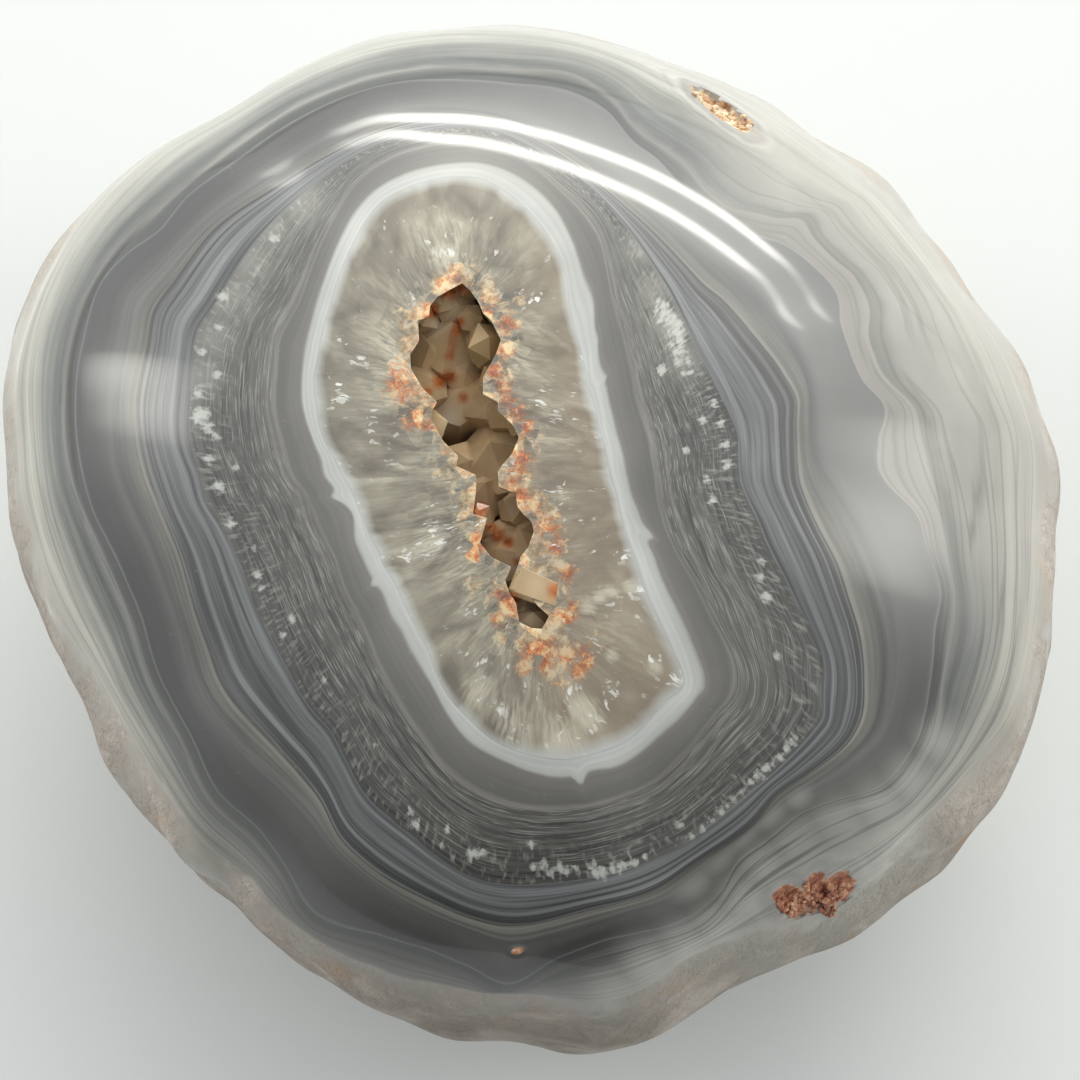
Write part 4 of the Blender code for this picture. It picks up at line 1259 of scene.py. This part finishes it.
# The polish lies as a clear coat on it, and light spreads a little way inside
shader.inputs["Roughness"].default_value = 0.3
shader.inputs["IOR"].default_value = 1.544
shader.inputs["Coat Weight"].default_value = 0.8
shader.inputs["Coat Roughness"].default_value = 0.05
shader.inputs["Subsurface Weight"].default_value = 1.0
shader.inputs["Subsurface Radius"].default_value = (1.0, 0.9, 0.8)
shader.inputs["Subsurface Scale"].default_value = 0.15 * MM
quartz.data.materials.append(massive_quartz)
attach(quartz, "root")
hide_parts("agate_nodule")


# The crystals: six sided quartz points that line the open pocket, tips inwards, with rust in their seams.
# Each is a prism with a pyramid on it, rooted in the wall. Those that show through the gap are placed
# one by one, and the rest are strewn over the wall.
CRYSTAL_SIDES = 6
PYRAMID_SHARE = 0.62
BLUNT_SHARE = 0.36
druse_bm = bmesh.new()
draw = random.Random(7)


def add_crystal(bm, tip, toward, width, length, pyramid_share=PYRAMID_SHARE):
    """One crystal whose tip is at a point and whose body runs back from it. Sizes in millimetres."""
    toward = Vector(toward).normalized()
    made = bmesh.ops.create_circle(bm, cap_ends=True, segments=CRYSTAL_SIDES, radius=width / 2)["verts"]
    root = made[0].link_faces[0]
    prism = bmesh.ops.extrude_face_region(bm, geom=[root])["geom"]
    shoulder = [part for part in prism if isinstance(part, bmesh.types.BMVert)]
    bmesh.ops.translate(bm, vec=(0, 0, length), verts=shoulder)
    top = next(part for part in prism if isinstance(part, bmesh.types.BMFace))
    pyramid = width * pyramid_share
    apex = bmesh.ops.poke(bm, faces=[top])["verts"][0]
    apex.co += Vector((draw.uniform(-0.1, 0.1) * width, draw.uniform(-0.1, 0.1) * width, pyramid))
    for corner in shoulder:
        corner.co.z += draw.uniform(-0.12, 0.12) * width
    whole = made + shoulder + [apex]
    spin = Matrix.Rotation(draw.uniform(0, math.tau), 4, "Z")
    squash = Matrix.Diagonal((1.0, draw.uniform(0.78, 1.0), 1.0, 1.0))
    turn = toward.to_track_quat("Z", "Y").to_matrix().to_4x4()
    bmesh.ops.transform(bm, matrix=squash @ spin, verts=whole)
    place = Vector(tip) - turn @ apex.co
    bmesh.ops.transform(bm, matrix=Matrix.Translation(place) @ turn, verts=whole)


# Tip's pixels across and down, its depth under the polish, the way it points, its width and length
SHOWN_CRYSTALS = (
    (452, 322, 1.0, (0.1, 0.25, 1.0), 2.9, 3.0),
    (430, 345, 1.2, (0.3, 0.2, 1.0), 2.0, 2.5),
    (468, 348, 0.45, (-0.8, -0.1, 0.75), 1.5, 2.0),
    (484, 366, 1.0, (-0.5, 0.3, 0.8), 1.2, 2.0),
    (462, 296, 0.7, (-0.1, -0.9, 0.6), 1.2, 2.0),
    (441, 305, 0.6, (0.5, -0.6, 0.7), 0.9, 1.5),
    (432, 378, 1.2, (0.4, 0.3, 1.0), 1.7, 2.5),
    (461, 390, 1.7, (0.0, 0.2, 1.0), 2.3, 2.5),
    (448, 421, 0.35, (0.75, 0.15, 0.6), 1.2, 2.2),
    (490, 442, 1.2, (-0.15, 0.2, 1.0), 3.0, 3.0),
    (508, 420, 0.8, (-0.7, 0.1, 0.7), 1.1, 2.0),
    (486, 482, 1.5, (0.2, 0.1, 1.0), 1.9, 2.5),
    (503, 500, 1.1, (-0.5, 0.2, 0.9), 1.2, 2.0),
    (490, 506, 0.7, (0.5, 0.4, 0.8), 0.9, 2.0),
    (496, 548, 0.9, (0.1, 0.3, 1.0), 1.9, 2.5),
    (521, 530, 1.0, (-0.35, 0.1, 1.0), 1.8, 2.5),
    (505, 528, 1.2, (0.0, 0.2, 1.0), 1.5, 2.0),
    (533, 612, 0.7, (0.0, 0.4, 1.0), 1.8, 2.0),
    (524, 606, 0.9, (0.2, 0.0, 1.0), 1.4, 2.0),
    (431, 308, 0.8, (0.5, 0.1, 0.8), 1.3, 2.0),
    (446, 296, 0.45, (0.1, -0.1, 1.0), 1.2, 2.0),
    (459, 306, 0.7, (0.0, -0.1, 1.0), 1.5, 2.5),
    (470, 312, 0.6, (-0.2, 0.0, 1.0), 1.0, 2.5),
    (476, 330, 1.2, (-0.3, 0.0, 1.0), 1.6, 2.0),
    (478, 386, 1.3, (-0.2, 0.2, 1.0), 2.0, 2.5),
    (490, 402, 1.1, (-0.6, 0.1, 0.9), 1.5, 2.0),
    (466, 372, 1.5, (0.1, 0.1, 1.0), 1.6, 2.5),
    (470, 460, 1.5, (0.3, 0.1, 1.0), 1.6, 2.5),
    (500, 470, 1.4, (-0.4, 0.1, 1.0), 1.5, 2.5),
)
for across, down, depth, toward, width, length in SHOWN_CRYSTALS:
    sight = sight_lines([across], [down])[0]
    tip = on_dome([across], [down])[0] + sight * depth / -sight[2]
    add_crystal(druse_bm, tip, toward, width, length, BLUNT_SHARE)

# One crystal bridges the gap: a slab whose top is level with the polish
BRIDGE_OUTLINE = ((508, 590), (520, 561), (562, 581), (559, 613), (512, 596))
BRIDGE_DEPTH = 1.1
BRIDGE_SLANT = (0.05, 0.35)
BRIDGE_RISE = 0.04
BRIDGE_BEVEL = 0.16
sides = len(BRIDGE_OUTLINE)
made = bmesh.ops.create_circle(druse_bm, cap_ends=True, segments=sides, radius=1.0)["verts"]
for corner, place in zip(made, on_dome(*zip(*BRIDGE_OUTLINE))):
    corner.co = Vector(place) + Vector((0, 0, BRIDGE_RISE))
slab = bmesh.ops.extrude_face_region(druse_bm, geom=[made[0].link_faces[0]])["geom"]
slab = [part for part in slab if isinstance(part, bmesh.types.BMVert)]
bmesh.ops.translate(druse_bm, vec=(*BRIDGE_SLANT, -BRIDGE_DEPTH), verts=slab)
top_edges = [edge for corner in made for edge in corner.link_edges if edge.other_vert(corner) in made]
bmesh.ops.bevel(
    druse_bm, geom=list(dict.fromkeys(top_edges)), offset=BRIDGE_BEVEL, segments=1, profile=0.5,
    affect="EDGES", material=-1,
)

# Those that show are cut fine enough for the stain that each vertex carries
STAIN_CUTS = 5
bmesh.ops.triangulate(druse_bm, faces=druse_bm.faces)
bmesh.ops.subdivide_edges(druse_bm, edges=druse_bm.edges, cuts=STAIN_CUTS, use_grid_fill=True)

WALL_CRYSTALS = 150
WALL_TOP = 20.6
WALL_BOTTOM = 15.8
WALL_WIDTHS = (0.8, 1.7)
for _ in range(WALL_CRYSTALS):
    turn = draw.uniform(0, math.tau)
    level = draw.uniform(WALL_BOTTOM, WALL_TOP)
    size = float(np.interp(level, *zip(*reversed(POCKET_LEVELS))))
    across = size * POCKET_HALF_WIDTH * math.cos(turn)
    along = size * POCKET_HALF_LENGTH * math.sin(turn)
    arm = Vector((
        across * math.cos(POCKET_TURN) - along * math.sin(POCKET_TURN),
        across * math.sin(POCKET_TURN) + along * math.cos(POCKET_TURN),
        0,
    ))
    wall = Vector((*POCKET_MIDDLE, level)) + arm
    width = draw.uniform(*WALL_WIDTHS)
    rise = draw.uniform(0.1, 0.5) + (WALL_TOP - level) / 6
    lean = Vector((draw.uniform(-0.35, 0.35), draw.uniform(-0.35, 0.35), rise))
    toward = (-arm.normalized() + lean).normalized()
    add_crystal(druse_bm, wall + toward * draw.uniform(0.7, 1.5) * width * 0.8, toward, width, width * 1.2)

bmesh.ops.scale(druse_bm, vec=(MM, MM, MM), verts=druse_bm.verts)
druse = finish_mesh(druse_bm, "crystal_druse", smooth=False)
INNER_RUST_MARKS = (
    (447, 289, 12), (463, 287, 10), (433, 311, 8), (456, 331, 7), (452, 343, 7), (449, 355, 6),
    (440, 381, 9), (450, 377, 8), (428, 392, 6), (480, 510, 9), (498, 536, 9), (508, 542, 7),
    (492, 528, 7), (520, 420, 6), (460, 322, 6), (514, 598, 7), (555, 591, 9), (560, 578, 8),
    (549, 572, 7), (463, 398, 6), (518, 562, 6),
)
# Pale marks: crystal faces that are paler and less stained; on the deeper faces the paleness is painted light
INNER_PALE_AND_LIT_MARKS = ((452, 309, 15), (438, 325, 9), (531, 616, 14), (535, 587, 30), (449, 420, 12))
give_marks(druse, "rust", INNER_RUST_MARKS)
give_marks(druse, "pale", INNER_PALE_AND_LIT_MARKS)

# Rock crystal with a faint smoky tint: clear, glassy on its flat faces, with iron in its seams
rock_crystal, tree, shader = new_material("smoky_rock_crystal")
place = add_node(tree, "ShaderNodeTexCoord", output="Object")
rust_mark, pale_mark = (
    add_node(tree, "ShaderNodeAttribute", output="Fac", attribute_name=name) for name in ("rust", "pale")
)
body_noise = add_node(tree, "ShaderNodeTexNoise", {"Vector": place, "Scale": per_mm(1.2), "Detail": 3.0})
CRYSTAL_COLOURS = ((0.35, "#cdaf87"), (0.5, "#d8bb94"), (0.65, "#e4c9a4"))
STAINED_TIP = "#a2885f"
PAINTED_LIT_FACE = "#f6e9cf"
SMOKY_DEPTH = "#d8c8aa"
SMOKY_DENSITY = 60.0
colour = add_node(tree, "ShaderNodeValToRGB", {"Fac": body_noise}, stops=CRYSTAL_COLOURS)
height = add_node(tree, "ShaderNodeSeparateXYZ", {"Vector": place}, output="Z")
near_polish = add_node(tree, "ShaderNodeMapRange", {0: height, 1: 21.2 * MM, 2: 22.3 * MM, 3: 0.0, 4: 0.9})
bare = add_node(tree, "ShaderNodeMapRange", {0: pale_mark, 1: 0.0, 2: 1.0, 3: 1.0, 4: 0.4})
stained = add_node(tree, "ShaderNodeMath", {0: near_polish, 1: bare}, operation="MULTIPLY")
colour = add_node(
    tree, "ShaderNodeMix", {"Factor": stained, 6: colour, 7: linear(STAINED_TIP)}, output=2, data_type="RGBA"
)
# Painted light: deeper faces in the pale marks are made lighter, standing in for light that comes through the
# translucent quartz
deeper = add_node(tree, "ShaderNodeMath", {0: 1.0, 1: near_polish}, operation="SUBTRACT")
painted_light = add_node(tree, "ShaderNodeMath", {0: pale_mark, 1: deeper}, operation="MULTIPLY")
colour = add_node(
    tree, "ShaderNodeMix", {"Factor": painted_light, 6: colour, 7: linear(PAINTED_LIT_FACE)}, output=2, data_type="RGBA"
)
grains = add_node(
    tree, "ShaderNodeTexNoise", {"Vector": place, "Scale": per_mm(0.3), "Detail": 5.0, "Roughness": 0.7}
)
rust = add_node(tree, "ShaderNodeMath", {0: rust_mark, 1: grains}, operation="ADD")
rust = add_node(tree, "ShaderNodeMapRange", {0: rust, 1: 0.75, 2: 1.3, 3: 0.0, 4: 0.95})
RUST_FILM = ((0.35, "#a8532c"), (0.55, "#cc7a44"), (0.7, "#dcae7c"))
rust_colour = add_node(tree, "ShaderNodeValToRGB", {"Fac": grains}, stops=RUST_FILM)
colour = add_node(
    tree, "ShaderNodeMix", {"Factor": rust, 6: colour, 7: rust_colour}, output=2, data_type="RGBA"
)
tree.links.new(colour, shader.inputs["Base Color"])
shader.inputs["Roughness"].default_value = 0.16
shader.inputs["IOR"].default_value = 1.544
shader.inputs["Specular IOR Level"].default_value = 0.25
shader.inputs["Transmission Weight"].default_value = 0.2
crystal_depth = add_node(
    tree, "ShaderNodeVolumeAbsorption", {"Color": linear(SMOKY_DEPTH), "Density": SMOKY_DENSITY}
)
tree.links.new(crystal_depth, tree.nodes["Material Output"].inputs["Volume"])
druse.data.materials.append(rock_crystal)
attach(druse, "root")
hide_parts("crystal_crust")


# Rusty quartz druse in the small pits by the edge: grains about as big as poppy seeds, reddish brown
# in front and yellowish at the back, stuck side by side on the pits' floors.
# Each group: pixels across and down, reach across and down, turn in degrees, and number of grains
GRAIN_GROUPS = (
    (793, 899, 17, 12, 0, 60), (812, 891, 9, 10, 0, 24), (834, 890, 18, 9, 25, 55),
    (825, 909, 12, 6, -30, 24), (704, 98, 12, 4, -35, 26), (722, 109, 12, 4, -35, 30),
    (742, 121, 12, 5, -35, 30),
)
GRAIN_RADII = (0.06, 0.14)
grains_bm = bmesh.new()
for across, down, reach_across, reach_down, turn, count in GRAIN_GROUPS:
    turn = math.radians(turn)
    for _ in range(count):
        way = draw.uniform(0, math.tau)
        out = math.sqrt(draw.random())
        along = reach_across * out * math.cos(way)
        beside = reach_down * out * math.sin(way)
        spot = on_dome(
            [across + along * math.cos(turn) + beside * math.sin(turn)],
            [down - along * math.sin(turn) + beside * math.cos(turn)],
        )
        spot = with_pits(spot)[0]
        radius = draw.uniform(*GRAIN_RADII)
        middle = Matrix.Translation(Vector(spot) + Vector((0, 0, radius * 0.3)))
        spin = Matrix.Rotation(draw.uniform(0, math.tau), 4, (draw.random(), draw.random(), 1.0))
        squash = Matrix.Diagonal((draw.uniform(0.6, 1.2), draw.uniform(0.6, 1.2), 1.0, 1.0))
        bmesh.ops.create_icosphere(
            grains_bm, subdivisions=1, radius=radius, matrix=middle @ spin @ squash
        )
bmesh.ops.scale(grains_bm, vec=(MM, MM, MM), verts=grains_bm.verts)
pit_grains = finish_mesh(grains_bm, "pit_grains", smooth=False)

# Iron stained quartz grains: dull reddish brown with ochre and cream between
stained_grains, tree, shader = new_material("iron_stained_quartz")
place = add_node(tree, "ShaderNodeTexCoord", output="Object")
mottle = add_node(
    tree, "ShaderNodeTexNoise", {"Vector": place, "Scale": per_mm(0.5), "Detail": 4.0, "Roughness": 0.7}
)
front = add_node(tree, "ShaderNodeValToRGB", {"Fac": mottle}, stops=FRONT_STAIN)
back = add_node(tree, "ShaderNodeValToRGB", {"Fac": mottle}, stops=BACK_STAIN)
depth = add_node(tree, "ShaderNodeSeparateXYZ", {"Vector": place}, output="Y")
behind = add_node(tree, "ShaderNodeMath", {0: depth, 1: 0.0}, operation="GREATER_THAN")
colour = add_node(tree, "ShaderNodeMix", {"Factor": behind, 6: front, 7: back}, output=2, data_type="RGBA")
tree.links.new(colour, shader.inputs["Base Color"])
shader.inputs["Roughness"].default_value = 0.45
shader.inputs["IOR"].default_value = 1.54
pit_grains.data.materials.append(stained_grains)
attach(pit_grains, "root")
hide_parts("agate_nodule")


# The stage: a sheet of white paper for a floor, in the soft light of a white room.
# Two long lights behind the stone and a soft light at each side show in the polish.
FLOOR_HALF = 1.5
FLOOR_GAP = 0.0001
PAPER_COLOUR = "#dcdedd"
floor_bm = bmesh.new()
bmesh.ops.create_grid(floor_bm, x_segments=1, y_segments=1, size=FLOOR_HALF)
bmesh.ops.translate(floor_bm, vec=(0, 0, -FLOOR_GAP), verts=floor_bm.verts)
floor = finish_mesh(floor_bm, "floor", smooth=False)
paper, tree, shader = new_material("white_paper")
shader.inputs["Base Color"].default_value = linear(PAPER_COLOUR)
shader.inputs["Roughness"].default_value = 0.9
shader.inputs["Specular IOR Level"].default_value = 0.0
floor.data.materials.append(paper)

STONE_TOP = Vector((0.0, 0.0, 0.022))
LAMP_COLOUR = "#fffdf4"
EDGE_FADE = 0.25


def add_light(name, start, end, width, power, end_fade=EDGE_FADE):
    """A long light between two points, turned to the stone and soft at its edges. Sizes in metres."""
    start, end = Vector(start), Vector(end)
    data = bpy.data.lights.new(name, "AREA")
    data.shape = "RECTANGLE"
    data.size = (end - start).length
    data.size_y = width
    data.energy = power
    data.color = linear(LAMP_COLOUR)[:3]
    data.use_nodes = True
    tree = data.node_tree
    lamp_place = add_node(tree, "ShaderNodeNewGeometry", output="Parametric")
    brightness = 1.0
    for axis, fade in (("X", end_fade), ("Y", EDGE_FADE)):
        share = add_node(tree, "ShaderNodeSeparateXYZ", {"Vector": lamp_place}, output=axis)
        rest = add_node(tree, "ShaderNodeMath", {0: 1.0, 1: share}, operation="SUBTRACT")
        hump = add_node(tree, "ShaderNodeMath", {0: share, 1: rest}, operation="MULTIPLY")
        hump = add_node(tree, "ShaderNodeMapRange", {0: hump, 1: 0.0, 2: fade, 3: 0.0, 4: 1.0})
        brightness = add_node(tree, "ShaderNodeMath", {0: brightness, 1: hump}, operation="MULTIPLY")
    tree.links.new(brightness, tree.nodes["Emission"].inputs["Strength"])
    light = bpy.data.objects.new(name, data)
    along = (end - start).normalized()
    back = ((start + end) / 2 - STONE_TOP).normalized()
    back = (back - along * back.dot(along)).normalized()
    turned = Matrix((along, back.cross(along), back)).transposed()
    light.matrix_world = Matrix.Translation((start + end) / 2) @ turned.to_4x4()
    scene.collection.objects.link(light)


BACK_LIGHT_Y = 0.4
STRIP_WIDTH = 0.03
STRIP_POWER = 1.25
STRIP_FADE = 0.14
for name, (left_x, left_z), (right_x, right_z) in (
    ("lower_strip", (-0.18, 0.1), (0.36, 0.29)),
    ("upper_strip", (-0.18, 0.145), (0.352, 0.385)),
):
    start, end = (left_x, BACK_LIGHT_Y, left_z), (right_x, BACK_LIGHT_Y, right_z)
    add_light(name, start, end, STRIP_WIDTH, STRIP_POWER, STRIP_FADE)


def side_place(azimuth, elevation, distance=0.4):
    """A point at so many degrees from +Y towards +X and above the floor."""
    azimuth, elevation = math.radians(azimuth), math.radians(elevation)
    level = distance * math.cos(elevation)
    place = Vector((level * math.sin(azimuth), level * math.cos(azimuth), distance * math.sin(elevation)))
    return place + STONE_TOP


add_light("left_box", side_place(-73.5, 2), side_place(-73.5, 42), 0.07, 0.4)
add_light("right_box", side_place(79, 16), side_place(79, 52), 0.13, 0.5)

# The room's white walls: brightest behind the stone, less so at the sides and dim in front
WALL_COLOUR = "#f6f9fa"
SIDE_WALL_SHARE = 0.48
scene.view_settings.view_transform = "Standard"
world = bpy.data.worlds.new("studio")
scene.world = world
world.use_nodes = True
tree = world.node_tree
direction = add_node(tree, "ShaderNodeTexCoord", output="Generated")
behind = add_node(tree, "ShaderNodeSeparateXYZ", {"Vector": direction}, output="Y")
beside = add_node(tree, "ShaderNodeSeparateXYZ", {"Vector": direction}, output="X")
beside = add_node(tree, "ShaderNodeMath", {0: beside}, operation="ABSOLUTE")
beside = add_node(tree, "ShaderNodeMath", {0: beside, 1: SIDE_WALL_SHARE}, operation="MULTIPLY")
brightness = add_node(tree, "ShaderNodeMath", {0: behind, 1: beside}, operation="ADD")
brightness = add_node(tree, "ShaderNodeMapRange", {0: brightness, 1: -0.8, 2: 1.0, 3: 0.16, 4: 1.66})
background = tree.nodes["Background"]
background.inputs["Color"].default_value = linear(WALL_COLOUR)
tree.links.new(brightness, background.inputs["Strength"])
